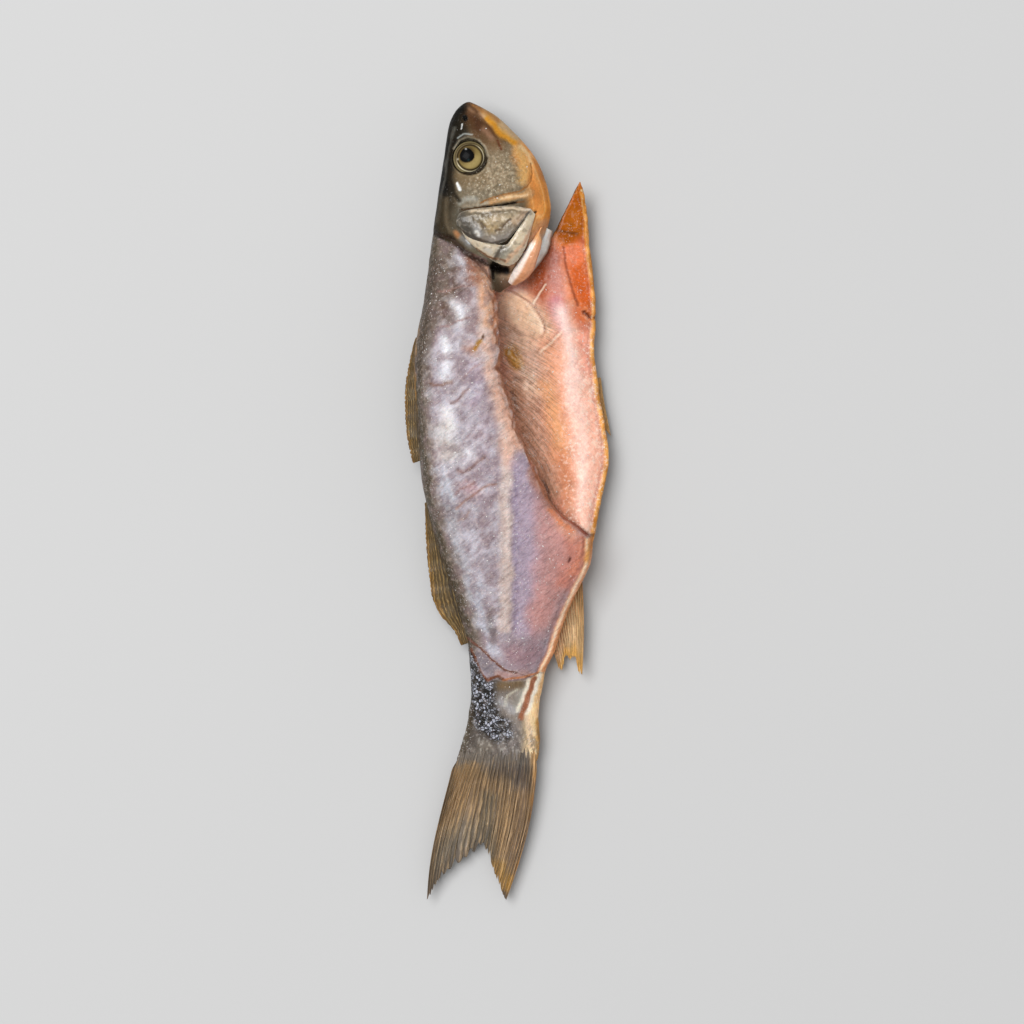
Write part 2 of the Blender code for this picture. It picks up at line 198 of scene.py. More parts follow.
class Link:
    """A node's output socket, or a part of one, that takes part in Python arithmetic."""

    def __init__(self, graph: "Graph", socket: bpy.types.NodeSocket) -> None:
        """Keeps the graph that new nodes go to, and the socket."""
        self.graph = graph
        self.socket = socket

    def maths(self, operation: str, first: "Value", second: "Value" = 0.0) -> "Link":
        """Returns a Math node's result."""
        return self.graph.node("ShaderNodeMath", {"operation": operation}, {0: first, 1: second})

    def __add__(self, other: "Value") -> "Link":
        """Returns the sum."""
        return self.maths("ADD", self, other)

    def __sub__(self, other: "Value") -> "Link":
        """Returns the difference."""
        return self.maths("SUBTRACT", self, other)

    def __rsub__(self, other: "Value") -> "Link":
        """Returns the difference from a number."""
        return self.maths("SUBTRACT", other, self)

    def __mul__(self, other: "Value") -> "Link":
        """Returns the product."""
        return self.maths("MULTIPLY", self, other)

    __radd__ = __add__
    __rmul__ = __mul__

    def step(self, low: float, high: float) -> "Link":
        """Returns a smooth change from 0 at low to 1 at high."""
        return self.graph.node(
            "ShaderNodeMapRange",
            {"interpolation_type": "SMOOTHSTEP"},
            {"Value": self, "From Min": low, "From Max": high},
        )

    def fade(self, low: float, high: float) -> "Link":
        """Returns a smooth change from 1 at low to 0 at high."""
        return self.graph.node(
            "ShaderNodeMapRange",
            {"interpolation_type": "SMOOTHSTEP"},
            {"Value": self, "From Min": low, "From Max": high, "To Min": 1.0, "To Max": 0.0},
        )


Value = Link | float | tuple[float, ...]


class Graph:
    """One material's node tree, built by expressions."""

    def __init__(self, name: str) -> None:
        """Makes the material and finds its shader.

        Args:
            name: the material's name.
        """
        self.material = bpy.data.materials.new(name)
        self.material.use_nodes = True
        self.tree = self.material.node_tree
        self.shader = self.tree.nodes["Principled BSDF"]

    def node(self, kind: str, settings: dict | None = None, sockets: dict | None = None,
             output: int | str = 0) -> Link:
        """Makes a node.

        Args:
            kind: the node's type.
            settings: its properties, which are set first.
            sockets: values or links by input name or number.
            output: the output that is wanted.

        Returns:
            The wanted output as a link.
        """
        made = self.tree.nodes.new(kind)
        for key, value in (settings or {}).items():
            setattr(made, key, value)
        for key, value in (sockets or {}).items():
            self.join(made.inputs[key], value)
        return Link(self, made.outputs[output])

    def join(self, socket: bpy.types.NodeSocket, value: Value) -> None:
        """Sets an input socket's value, or links it."""
        if isinstance(value, Link):
            self.tree.links.new(value.socket, socket)
        else:
            socket.default_value = value

    def mix(self, first: Value, second: Value, share: Value, blend: str = "MIX") -> Link:
        """Returns a blend of two colours, by a share of the second."""
        settings = {"data_type": "RGBA", "blend_type": blend, "clamp_factor": True}
        return self.node("ShaderNodeMix", settings, {0: share, 6: first, 7: second}, 2)

    def place(self) -> Link:
        """Returns the object coordinates, in metres."""
        return self.node("ShaderNodeTexCoord", output="Object")

    def attribute(self, name: str, output: str = "Fac") -> Link:
        """Returns an attribute that the piece's points carry."""
        return self.node("ShaderNodeAttribute", {"attribute_name": name}, output=output)

    def clouds(self, scale: float, at: Link | None = None, detail: float = 4.0, rough: float = 0.6) -> Link:
        """Returns fractal noise of 0 to 1, with that many waves to the metre or to the unit of at."""
        sockets = {"Vector": at or self.place(), "Scale": scale, "Detail": detail, "Roughness": rough}
        return self.node("ShaderNodeTexNoise", None, sockets)

    def cells(self, scale: float, feature: str = "F1", at: Link | None = None,
              output: str = "Distance") -> Link:
        """Returns a cell pattern's distance or random colour."""
        sockets = {"Vector": at or self.place(), "Scale": scale}
        return self.node("ShaderNodeTexVoronoi", {"feature": feature}, sockets, output)

    def scaled(self, vector: Link, size: Value) -> Link:
        """Returns a colour or a vector times a number."""
        return self.node("ShaderNodeVectorMath", {"operation": "SCALE"}, {0: vector, "Scale": size})

    def fold(self, noise_value: Link) -> Link:
        """Returns thin ridges, 1 on their crests, where a noise crosses its middle value."""
        return (noise_value - 0.5).maths("ABSOLUTE", noise_value - 0.5).fade(0.0, 0.09)

    def parts(self, vector: Link) -> tuple[Link, Link]:
        """Returns a vector's first and second parts."""
        split = self.tree.nodes.new("ShaderNodeSeparateXYZ")
        self.join(split.inputs[0], vector)
        return Link(self, split.outputs[0]), Link(self, split.outputs[1])

    def vector(self, x: Value, y: Value, z: Value = 0.0) -> Link:
        """Returns a vector from its three parts."""
        return self.node("ShaderNodeCombineXYZ", None, {0: x, 1: y, 2: z})

    def wobble(self, at: Link, scale: float, reach: float) -> Link:
        """Returns a place moved about by noise, up to reach."""
        sway = self.node("ShaderNodeTexNoise", None, {"Vector": at, "Scale": scale, "Detail": 2.0}, "Color")
        centred = self.node("ShaderNodeVectorMath", {"operation": "SUBTRACT"}, {0: sway, 1: (0.5, 0.5, 0.5)})
        moved = {0: at, 1: self.scaled(centred, 2 * reach)}
        return self.node("ShaderNodeVectorMath", {"operation": "ADD"}, moved)

    def bump(self, height: Link, depth: float, under: Link | None = None) -> Link:
        """Returns a normal that shows a height, which is depth metres at 1, on top of another normal."""
        sockets = {"Height": height, "Distance": depth, "Strength": 1.0}
        if under:
            sockets["Normal"] = under
        return self.node("ShaderNodeBump", None, sockets)

    def finish(self, varying: dict[str, Link], fixed: dict[str, Value]) -> bpy.types.Material:
        """Links what varies over the surface and sets what doesn't.

        Args:
            varying: links by the shader's input names.
            fixed: numbers and colours by the shader's input names.

        Returns:
            The finished material.
        """
        for key, value in {**varying, **fixed}.items():
            self.join(self.shader.inputs[key], value)
        return self.material


# --- Finishes ---------------------------------------------------------------------------------------------


@dataclass(frozen=True)
class FleshFinish:
    """Moist smoked flesh and skin: painted colours with mottling, fibres, cracks, oil and painted glints, and
    small scales.
    """

    mottle: float = 0.26
    # The oil beads' white, which also serves as painted glints.
    oil: Rgb = (252, 248, 244)
    scale_light: Rgb = (186, 188, 200)
    scale_dark: Rgb = (44, 41, 38)
    fleck: Rgb = (255, 232, 216)
    grain_light: Rgb = (222, 212, 190)
    grain_dark: Rgb = (84, 74, 56)

    def material(self) -> bpy.types.Material:
        """Returns the material, which reads the piece's attributes."""
        g = Graph("smoked_flesh")
        paint = g.attribute("paint", "Color")
        fibre, scaly, wet = g.attribute("fibre"), g.attribute("scaly"), g.attribute("wet")
        grain = g.attribute("grain", "Vector")
        place = g.place()

        broad = g.clouds(190, detail=5, rough=0.7).step(0.28, 0.72)
        fine = g.clouds(1100, detail=4, rough=0.7).step(0.3, 0.7)
        threads = g.clouds(1.0, grain, detail=4, rough=0.65).step(0.3, 0.7)
        folds = g.fold(g.clouds(1.0, g.wobble(grain, 0.9, 0.6), detail=3))
        tone = 1 + (broad - 0.5) * self.mottle + (fine - 0.5) * 0.18 + (threads - 0.5) * fibre * 0.42
        tone = tone + (folds - 0.35) * fibre * 0.22
        colour = g.scaled(paint, tone)

        grains = g.cells(900, "F1", g.wobble(place, 700, 0.0004))
        pitted = g.attribute("pitted")
        colour = g.mix(colour, shade(*self.grain_light), grains.fade(0.1, 0.3) * pitted * 0.5)
        colour = g.mix(colour, shade(*self.grain_dark), grains.step(0.5, 0.85) * pitted * 0.55)

        flecks = g.clouds(750, detail=3, rough=0.6).step(0.52, 0.64) * g.attribute("flecked")
        colour = g.mix(colour, shade(*self.fleck), flecks * 0.45)

        slanted = g.wobble(place, 300, 0.0008)
        block = g.node("ShaderNodeSeparateColor", None, {0: g.cells(900, "F1", slanted, "Color")})
        edge = g.cells(900, "DISTANCE_TO_EDGE", slanted)
        lit = block.step(0.1, 0.95) * edge.step(0.02, 0.2)
        colour = g.mix(colour, g.mix(shade(*self.scale_dark), shade(*self.scale_light), lit), scaly)

        # Oil beads: white in the base colour, partly the oil's own milky colour and partly painted glints.
        beads = g.clouds(1350, detail=2, rough=0.6).step(0.62, 0.7)
        beads = beads * g.clouds(140, detail=2).step(0.4, 0.58) * wet
        colour = g.mix(colour, shade(*self.oil), beads * 0.85)

        relief = broad * 0.26 + fine * 0.13 + threads * fibre * 0.2 + folds * fibre * 0.16 + beads * 0.2
        relief = relief + edge.step(0.0, 0.2) * scaly * 0.4 - grains * pitted * 0.3
        rough = 0.5 - fine * 0.14 - beads * 0.2
        return g.finish(
            {"Base Color": colour, "Roughness": rough, "Normal": g.bump(relief, 0.0008),
             "Coat Weight": 0.02 + wet * 0.3},
            {"Subsurface Weight": 0.12, "Subsurface Radius": (1.0, 0.45, 0.3), "Subsurface Scale": 0.002,
             "Coat Roughness": 0.12, "Specular IOR Level": 0.03},
        )


@dataclass(frozen=True)
class BoneFinish:
    """A thin moist bony plate: painted colours with a silver mottling and a wet coat."""

    name: str = "gill_bone"
    coat: float = 0.45
    mottle: float = 0.5

    def material(self) -> bpy.types.Material:
        """Returns the material, which reads the attribute paint."""
        g = Graph(self.name)
        broad, fine = g.clouds(330, detail=5), g.clouds(1300, detail=3)
        tone = 1 + (broad - 0.5) * self.mottle + (fine - 0.5) * 0.4
        paint = g.attribute("paint", "Color")
        colour = g.scaled(paint, tone)
        normal = g.bump(broad * 0.6 + fine * 0.25, 0.0007)
        return g.finish(
            {"Base Color": colour, "Roughness": 0.42 - broad.step(0.4, 0.7) * 0.15, "Normal": normal},
            {"Subsurface Weight": 0.1, "Subsurface Radius": (1.0, 0.5, 0.3), "Subsurface Scale": 0.0012,
             "Coat Weight": self.coat, "Coat Roughness": 0.1},
        )


@dataclass(frozen=True)
class FinFinish:
    """A dry fin: pale rays over a darker web, with streaks and specks that run along the rays."""

    name: str
    ray: Rgb
    web: Rgb
    rays: float
    ray_share: float = 0.62
    sway: float = 1.5

    def material(self) -> bpy.types.Material:
        """Returns the material, which reads the attributes paint, shown and rays, a place on the blade."""
        g = Graph(self.name)
        paint = g.attribute("paint", "Color")
        across, out = g.parts(g.attribute("rays", "Vector"))
        sway = g.clouds(1.0, g.vector(across * (self.rays * 0.5), out * 2.2, 0.0), 3) - 0.5
        bent = across + sway * (self.sway / self.rays)
        wave = g.node("ShaderNodeMath", {"operation": "SINE"}, {0: bent * (self.rays * math.tau)})
        ridge = (wave * 0.5 + 0.5).step(0.15, 0.85)
        streak = g.clouds(1.0, g.vector(bent * (self.rays * 3.3), out * 4.0, 3.0), 4).step(0.32, 0.68)
        blotch = g.clouds(1.0, g.vector(across * (self.rays * 0.7), out * 5.0, 7.0), 4).step(0.3, 0.7)
        fine = g.clouds(1500, detail=2)
        shown = g.attribute("shown")
        colour = g.mix(paint, shade(*self.web), (1 - ridge) * (0.35 + blotch * 0.4) * shown)
        colour = g.mix(colour, shade(*self.ray), ridge * streak * shown * self.ray_share)
        tone = 0.7 + blotch * 0.34 + (fine - 0.5) * 0.5 + (streak - 0.5) * 0.5
        colour = g.scaled(colour, tone)
        normal = g.bump(ridge * 0.5 + streak * 0.3 + fine * 0.12, 0.0007)
        return g.finish(
            {"Base Color": colour, "Roughness": 0.55 - streak.step(0.5, 0.8) * 0.2, "Normal": normal},
            {"Subsurface Weight": 0.08, "Subsurface Radius": (1.0, 0.6, 0.3), "Subsurface Scale": 0.001,
             "Coat Weight": 0.12, "Coat Roughness": 0.25},
        )


@dataclass(frozen=True)
class EyeFinish:
    """A clear moist eye: painted rings under a hard gloss."""

    def material(self) -> bpy.types.Material:
        """Returns the material, which reads the attribute paint."""
        g = Graph("fish_eye")
        fine = g.clouds(1400, detail=4)
        colour = g.scaled(g.attribute("paint", "Color"), 0.75 + fine * 0.5)
        return g.finish(
            {"Base Color": colour, "Roughness": 0.3 + fine * 0.2},
            {"Coat Weight": 0.06, "Coat Roughness": 0.1, "Coat IOR": 1.4, "Specular IOR Level": 0.05},
        )


@dataclass(frozen=True)
class DropFinish:
    """Beads of oil and brine: milky and glossy."""

    colour: Rgb = (247, 243, 238)

    def material(self) -> bpy.types.Material:
        """Returns the material."""
        g = Graph("oil_and_brine")
        cloudy = g.clouds(1800, detail=2)
        colour = g.mix(shade(*self.colour), shade(222, 205, 196), cloudy.step(0.5, 0.7) * 0.5)
        return g.finish(
            {"Base Color": colour, "Roughness": 0.2 + cloudy * 0.15},
            {"Subsurface Weight": 0.4, "Subsurface Radius": (1.0, 0.9, 0.8), "Subsurface Scale": 0.0006,
             "Coat Weight": 0.8, "Coat Roughness": 0.05},
        )


# --- Sculpting and painting -------------------------------------------------------------------------------


@dataclass(frozen=True)
class Stroke:
    """A soft band of colour along a line on the upper side.

    The colour is half faded at width from the line, and soft says over how much of the width it fades.
    """

    colour: Rgb
    width: float
    line: Line
    strength: float = 1.0
    soft: float = 1.0


@dataclass(frozen=True)
class Crease:
    """A furrow along a line on the upper side, or a ridge where its depth is negative."""

    width: float
    depth: float
    line: Line


class Sculpture:
    """A dense mesh whose points are moved and painted by rules on their place, in millimetres."""

    def __init__(self, mesh: bpy.types.Mesh) -> None:
        """Takes the mesh's points and starts with grey paint.

        Args:
            mesh: a closed mesh in metres, with its place in its points.
        """
        self.mesh = mesh
        flat = np.empty(len(mesh.vertices) * 3, np.float32)
        mesh.vertices.foreach_get("co", flat)
        self.points = flat.reshape(-1, 3).astype(float) / MM
        self.colour = np.full((len(self.points), 3), 0.5)
        self.floats: dict[str, Array] = {}
        self.vectors: dict[str, Array] = {}
        self.normals = np.zeros_like(self.points)
        self.measure()

    def measure(self) -> None:
        """Writes the points to the mesh and reads its normals again."""
        self.mesh.vertices.foreach_set("co", (self.points * MM).astype(np.float32).ravel())
        self.mesh.update()
        flat = np.empty(len(self.points) * 3, np.float32)
        self.mesh.vertex_normals.foreach_get("vector", flat)
        self.normals = flat.reshape(-1, 3).astype(float)

    @property
    def plan(self) -> Array:
        """Returns each point's X and Y."""
        return self.points[:, :2]

    @property
    def seen(self) -> Array:
        """Returns the X and Y at which the camera sees each point, on the level that its scale is set for."""
        middle, height = np.array(CAMERA_PLACE[:2]), CAMERA_PLACE[2]
        nearer = (height - SCALE_HEIGHT) / (height - self.points[:, 2:])
        return middle + (self.plan - middle) * nearer

    def clouds(self, size: float, seed: int) -> Array:
        """Returns smooth noise of -1 to 1 at the points.

        Args:
            size: the size of its features, in millimetres.
            seed: picks one of many such patterns.
        """
        shifted = (self.points / size + seed * 17.31).tolist()
        return np.array([noise.noise(Vector(p)) for p in shifted])

    def streaks(self, places: Array, seed: int) -> Array:
        """Returns sharp-crested noise of 0 to 1 at places that the caller has stretched."""
        values = np.array([noise.noise(Vector(p)) for p in (places + seed * 11.7).tolist()])
        return 1 - np.clip(np.abs(values) * 3.2, 0, 1)

    def raised(self, rounds: int = 2) -> Array:
        """Returns how far each point stands out from those round it: about 1 on crests, -1 in furrows."""
        ends = np.empty(len(self.mesh.edges) * 2, np.int32)
        self.mesh.edges.foreach_get("vertices", ends)
        first, second = ends.reshape(-1, 2).T
        count = np.bincount(ends, minlength=len(self.points))[:, None]
        even = self.points.copy()
        for _ in range(rounds):
            total = np.zeros_like(even)
            np.add.at(total, first, even[second])
            np.add.at(total, second, even[first])
            even = total / count
        height = ((self.points - even) * self.normals).sum(1)
        return np.clip(height / (2 * height.std()), -1, 1)

    def warped(self, reach: float, size: float, seed: int) -> Array:
        """Returns each point's seen X and Y moved about by noise, up to about reach."""
        sway = np.stack([self.clouds(size, seed), self.clouds(size, seed + 1)], 1)
        return self.seen + sway * reach

    def push(self, height: Array) -> None:
        """Moves the points along their normals."""
        self.points += self.normals * height[:, None]
        self.measure()

    def paint(self, colour: Rgb, mask: Array | float = 1.0) -> None:
        """Blends a colour in where the mask is above 0."""
        share = np.broadcast_to(np.clip(mask, 0, 1), len(self.points))[:, None]
        self.colour = self.colour * (1 - share) + np.array(colour, float) / 255 * share

    def brush(self, strokes: tuple[Stroke, ...], at: Array, mask: Array | float = 1.0) -> None:
        """Paints strokes in turn, each on the warped places at, within a mask."""
        for stroke in strokes:
            distance = np.abs(path_distance(at, stroke.line))
            outer, inner = stroke.width * (1 + stroke.soft), stroke.width * max(0.0, 1 - stroke.soft)
            self.paint(stroke.colour, smooth_step(outer, inner, distance) * stroke.strength * mask)

    def relief(self, creases: tuple[Crease, ...], at: Array) -> Array:
        """Returns the height that creases and ridges add on the places at."""
        height = np.zeros(len(self.points))
        for crease in creases:
            distance = path_distance(at, crease.line)
            height -= crease.depth * bell(distance, crease.width)
        return height

    def finish(self, name: str, material: bpy.types.Material, node: str, slot: Slot) -> bpy.types.Object:
        """Writes the paint and the other attributes, and puts the piece in the scene.

        Args:
            name: the piece's name.
            material: its finish.
            node: the solid that it stands for.
            slot: its material slot, which is not used.

        Returns:
            The piece.
        """
        self.measure()
        paint = self.mesh.color_attributes.new("paint", "FLOAT_COLOR", "POINT")
        rgba = np.ones((len(self.points), 4), np.float32)
        rgba[:, :3] = linear(self.colour)
        paint.data.foreach_set("color", rgba.ravel())
        for key, values in self.floats.items():
            made = self.mesh.attributes.new(key, "FLOAT", "POINT")
            made.data.foreach_set("value", values.astype(np.float32))
        for key, values in self.vectors.items():
            made = self.mesh.attributes.new(key, "FLOAT_VECTOR", "POINT")
            made.data.foreach_set("vector", values.astype(np.float32).ravel())
        piece = add_piece(name, self.mesh, material, slot)
        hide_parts(node)
        return piece


def add_piece(name: str, mesh: bpy.types.Mesh, material: bpy.types.Material, slot: Slot) -> bpy.types.Object:
    """Puts a finished mesh in the scene as one smooth-shaded piece that rides on the fish's one body."""
    mesh.name = name
    mesh.materials.clear()
    mesh.materials.append(material)
    mesh.shade_smooth()
    piece = bpy.data.objects.new(name, mesh)
    bpy.context.scene.collection.objects.link(piece)
    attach(piece, ROOT)
    return piece


def copy_of_node(node: str, voxel: float, smoothing: int,
                 finer: Callable[[Vector, Vector], bool] | None = None) -> bpy.types.Mesh:
    """Returns a dense, even and smoothed copy of one of the fixed model's solids.

    Args:
        node: the solid's name.
        voxel: the spacing of the copy's points, in millimetres.
        smoothing: how many times each point moves towards its neighbours.
        finer: tells from a face's middle in millimetres and its normal whether it is split in four.
    """
    bm = bmesh.new()
    bm.from_mesh(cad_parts[node].data)
    bmesh.ops.remove_doubles(bm, verts=bm.verts, dist=0.002 * MM)
    mesh = bpy.data.meshes.new(node + "_copy")
    bm.to_mesh(mesh)
    bm.free()
    helper = bpy.data.objects.new(node + "_copy", mesh)
    bpy.context.scene.collection.objects.link(helper)
    remesh = helper.modifiers.new("even", "REMESH")
    remesh.mode = "VOXEL"
    remesh.voxel_size = voxel * MM
    relax = helper.modifiers.new("relax", "SMOOTH")
    relax.factor = 0.5
    relax.iterations = smoothing
    graph = bpy.context.evaluated_depsgraph_get()
    made = bpy.data.meshes.new_from_object(helper.evaluated_get(graph))
    bpy.data.objects.remove(helper)
    if finer:
        bm = bmesh.new()
        bm.from_mesh(made)
        chosen = [f for f in bm.faces if finer(f.calc_center_median() / MM, f.normal)]
        edges = list({e for f in chosen for e in f.edges})
        bmesh.ops.subdivide_edges(bm, edges=edges, cuts=1, use_grid_fill=True, smooth=0.0)
        bm.to_mesh(made)
        bm.free()
    return made


def sheet_pair(columns: int, rows: int,
               place: Callable[[Array, Array, int], Array]) -> tuple[bpy.types.Mesh, Array]:
    """Makes a thin closed blade from two grids that share their border.

    Args:
        columns: the number of spaces along the root.
        rows: the number of spaces from the root to the tips.
        place: gives the points in millimetres for along, out and the face, 1 above and -1 below.

    Returns:
        The mesh in metres, and an array of each point's along and out.
    """
    bm = bmesh.new()
    shares: list[tuple[float, float, int]] = []
    for face in (1, -1):
        grid = bmesh.ops.create_grid(bm, x_segments=columns, y_segments=rows, size=0.5)["verts"]
        shares += [(v.co.x + 0.5, v.co.y + 0.5, face) for v in grid]
    bm.verts.ensure_lookup_table()
    known = np.array(shares)
    points = np.concatenate([place(part[:, 0], part[:, 1], int(part[0, 2])) for part in np.split(known, 2)])
    for vert, point in zip(bm.verts, points):
        vert.co = Vector(point) * MM
    bmesh.ops.bridge_loops(bm, edges=[e for e in bm.edges if e.is_boundary])
    bmesh.ops.recalc_face_normals(bm, faces=bm.faces)
    mesh = bpy.data.meshes.new("blade")
    bm.to_mesh(mesh)
    bm.free()
    return mesh, known[:, :2]


# --- The body ---------------------------------------------------------------------------------------------


# Broad colours are brushed first and fine lines over them, each list in its order.
HEAD_STROKES = (
    Stroke((10, 8, 5), 5.4, ((-17.5, 158), (-23.5, 148), (-26, 136), (-28.5, 120), (-29.5, 108)), 1.0, 0.8),
    Stroke((36, 31, 22), 2.6, ((-19, 152), (-21.4, 146)), 0.8),
    # Painted highlight along the head's dark left edge.
    Stroke((98, 96, 90), 0.6, ((-21.5, 150), (-24.2, 138), (-26.6, 122), (-28.4, 112)), 0.6, 0.7),
    Stroke((62, 52, 36), 2.6, ((-26.4, 120), (-27, 110), (-25, 106)), 0.85),
    Stroke((112, 98, 78), 1.0, ((-24.6, 121), (-24.8, 112), (-22.6, 108)), 0.6),
    Stroke((92, 62, 36), 4.6, ((-12.5, 153.5), (-8.5, 149.5), (-5, 144)), 0.95, 0.7),
    Stroke((72, 46, 30), 1.8, ((-14.6, 156.5), (-12.4, 152.5), (-12, 148.4)), 0.85),
    Stroke((146, 112, 92), 1.6, ((-9.4, 148.6), (-6.6, 145.8)), 0.7),
    Stroke((92, 70, 48), 1.6, ((-13, 146.8), (-9.6, 145), (-7.4, 141)), 0.8),
    Stroke((156, 138, 112), 7.6, ((-8, 129.6), (-3, 134), (0, 130), (-8, 126.5)), 0.95),
    Stroke((118, 98, 70), 3.0, ((-19.8, 130.6), (-17, 128.8), (-11, 129.4)), 0.75),
    Stroke((120, 108, 88), 2.6, ((-17.6, 122.4), (-12, 122.4), (-8, 123.4)), 0.8),
    Stroke((172, 172, 164), 1.0, ((-19.4, 119.4), (-16.4, 121.2), (-13, 121)), 0.7),
    Stroke((122, 92, 66), 2.4, ((-14, 158.6), (-10.6, 156.6)), 0.95),
    Stroke((190, 158, 116), 3.3, ((-7.5, 155.2), (0.5, 149.6), (6.5, 143), (12, 135.5)), 1.0, 0.4),
    Stroke((160, 108, 56), 0.8, ((-13.8, 158.4), (-8.6, 155.6), (-4, 152.2)), 0.7),
    Stroke((196, 134, 40), 1.1, ((-8.2, 153.4), (-5.2, 150), (-2.2, 147), (2.4, 143.8)), 0.95, 0.95),
    Stroke((206, 172, 134), 0.8, ((-5.5, 155.6), (-1, 152.4), (4.6, 147), (8, 142.6)), 0.8),
    Stroke((226, 150, 78), 6.2, ((8.6, 139), (12.4, 132), (14.2, 125), (14.6, 118), (13.2, 111.6)), 1.0, 0.5),
    Stroke((188, 122, 52), 1.6, ((12, 137), (14.4, 129), (15.2, 124)), 0.7),
    Stroke((250, 166, 72), 1.9, ((15.8, 127), (16.8, 120), (15.6, 114)), 0.9),
    Stroke((206, 160, 98), 2.0, ((4.6, 141), (6.8, 135), (5.8, 129)), 0.9, 0.8),
    Stroke((236, 206, 160), 0.7, ((4.8, 142.2), (8, 139.4), (9.4, 135.6)), 0.7),
    Stroke((194, 148, 100), 1.35, ((9.4, 123.4), (4, 122.4), (-2, 121.2), (-6.6, 120)), 0.95, 0.5),
    Stroke((238, 206, 164), 0.45, ((7.6, 122.8), (2, 121.9), (-4, 120.8)), 0.75),
    Stroke((172, 160, 140), 0.8, ((-8, 119.8), (-12, 119), (-17.6, 117.9)), 0.75),
    Stroke((84, 78, 66), 3.2, ((-18.8, 114.6), (-18.4, 110.4)), 0.95, 0.7),
    Stroke((152, 152, 150), 1.2, ((-18.4, 113.4), (-17.2, 110)), 0.7),
    Stroke((160, 112, 74), 1.1, ((-20.8, 107.6), (-19.4, 106.4)), 0.95, 0.7),
    Stroke((122, 120, 116), 1.5, ((-17.6, 105.6), (-15.6, 103.4), (-13.2, 101.4)), 0.95, 0.7),
    Stroke((206, 208, 210), 0.55, ((-16.6, 105), (-15.4, 103.8)), 0.9, 0.6),
    Stroke((108, 98, 78), 3.0, ((-12, 100), (-7, 97.6), (-3, 96)), 0.9),
    Stroke((118, 112, 98), 1.0, ((-10.6, 99), (-6.4, 96.4)), 0.7),
    Stroke((216, 166, 128), 1.9, ((14.6, 111.4), (10.4, 105.6), (4.4, 98.6), (-0.6, 94.4)), 0.95, 0.6),
    Stroke((206, 160, 126), 3.4, ((12.4, 108), (8, 99), (2.2, 89.6)), 0.8),
    Stroke((196, 190, 182), 2.2, ((17.2, 108.6), (14.2, 102), (10, 95.4)), 1.0, 0.4),
    Stroke((150, 146, 140), 0.8, ((15.8, 104.6), (12.6, 98.6), (9.4, 94)), 0.7),
    Stroke((66, 44, 32), 0.7, ((18.8, 106), (15.6, 99), (11.4, 93.2), (6.6, 88.2), (3.6, 85.6)), 0.9, 0.6),
    Stroke((104, 82, 62), 1.6, ((5, 90.4), (8.6, 94)), 0.7),
)

HEAD_LINES = (
    Stroke((30, 24, 16), 0.7, ((-21.8, 144.5), (-23, 139), (-23.2, 130), (-21.8, 123.6), (-19.4, 120.4)),
           0.8),
    # Painted shade in the gill slit, in this stroke and the next.
    Stroke((22, 14, 8), 0.42, ((-10, 118.1), (-6, 118.3), (-2, 118.9), (1.6, 119.5), (3.6, 120)), 1.0, 0.5),
    Stroke((70, 50, 32), 0.4, ((-18.4, 116.9), (-13, 117.6), (-9, 118.1)), 0.9, 0.5),
    Stroke((118, 72, 34), 0.3, ((3.6, 120), (6.2, 120.2)), 0.8, 0.5),
    Stroke((150, 98, 50), 0.3, ((9.0, 135.4), (9.6, 131.6), (9.3, 128.6), (7.5, 126), (4.7, 124.4),
                                (-2.2, 122.8), (-7, 121.5), (-11, 119.5)), 0.85, 0.5),
    Stroke((74, 44, 24), 0.5, ((-16.2, 159.4), (-13.4, 157.2), (-9.8, 152.9), (-7, 149.2), (-5, 146.2)),
           0.4, 0.5),
    Stroke((150, 112, 84), 0.6, ((-15.4, 157.4), (-13.8, 156)), 0.5, 0.9),
    Stroke((190, 146, 112), 0.5, ((-11.8, 155.4), (-10, 153.8)), 0.4, 0.9),
    Stroke((98, 52, 30), 0.4, ((-4.2, 144.6), (-3.4, 142.4), (-2.8, 141)), 0.75, 0.5),
    Stroke((14, 13, 12), 0.9, ((-17.3, 153.9), (-17, 153.2)), 1.0, 0.4),
    # Painted highlights: by the nostril, and beside the crease on the head's left.
    Stroke((220, 222, 222), 0.3, ((-18.3, 151.2), (-18.7, 149.2)), 0.9, 0.5),
    Stroke((242, 244, 244), 0.55, ((-20.4, 127.4), (-19.8, 126.2), (-19.2, 124.8)), 0.9, 0.5),
    Stroke((176, 168, 148), 0.45, ((-21.6, 141.4), (-19.6, 144.6), (-15.8, 145.8), (-12, 144.6),
                                   (-9.2, 141.8), (-8.2, 138.6)), 0.7),
    # Painted highlight above the eye.
    Stroke((188, 196, 196), 0.3, ((-20.2, 145.6), (-17.6, 147.2), (-14.4, 147)), 0.7),
    # Painted shade in the deep gill opening and along its edge, in this stroke and the next.
    Stroke((12, 8, 6), 1.7, ((-5.6, 93.8), (-3.2, 93), (-1, 92.6)), 1.0, 0.5),
    Stroke((14, 9, 6), 0.6, ((-6.3, 93), (-5.8, 89.6)), 0.9, 0.6),
    Stroke((136, 112, 92), 1.6, ((-2.2, 89.6), (-0.6, 87)), 0.85),
    Stroke((52, 34, 20), 0.4, ((11, 116), (8, 113.4), (5, 110.6), (1, 104.4), (-2, 102.5), (-7.3, 102.3)),
           0.9, 0.5),
)

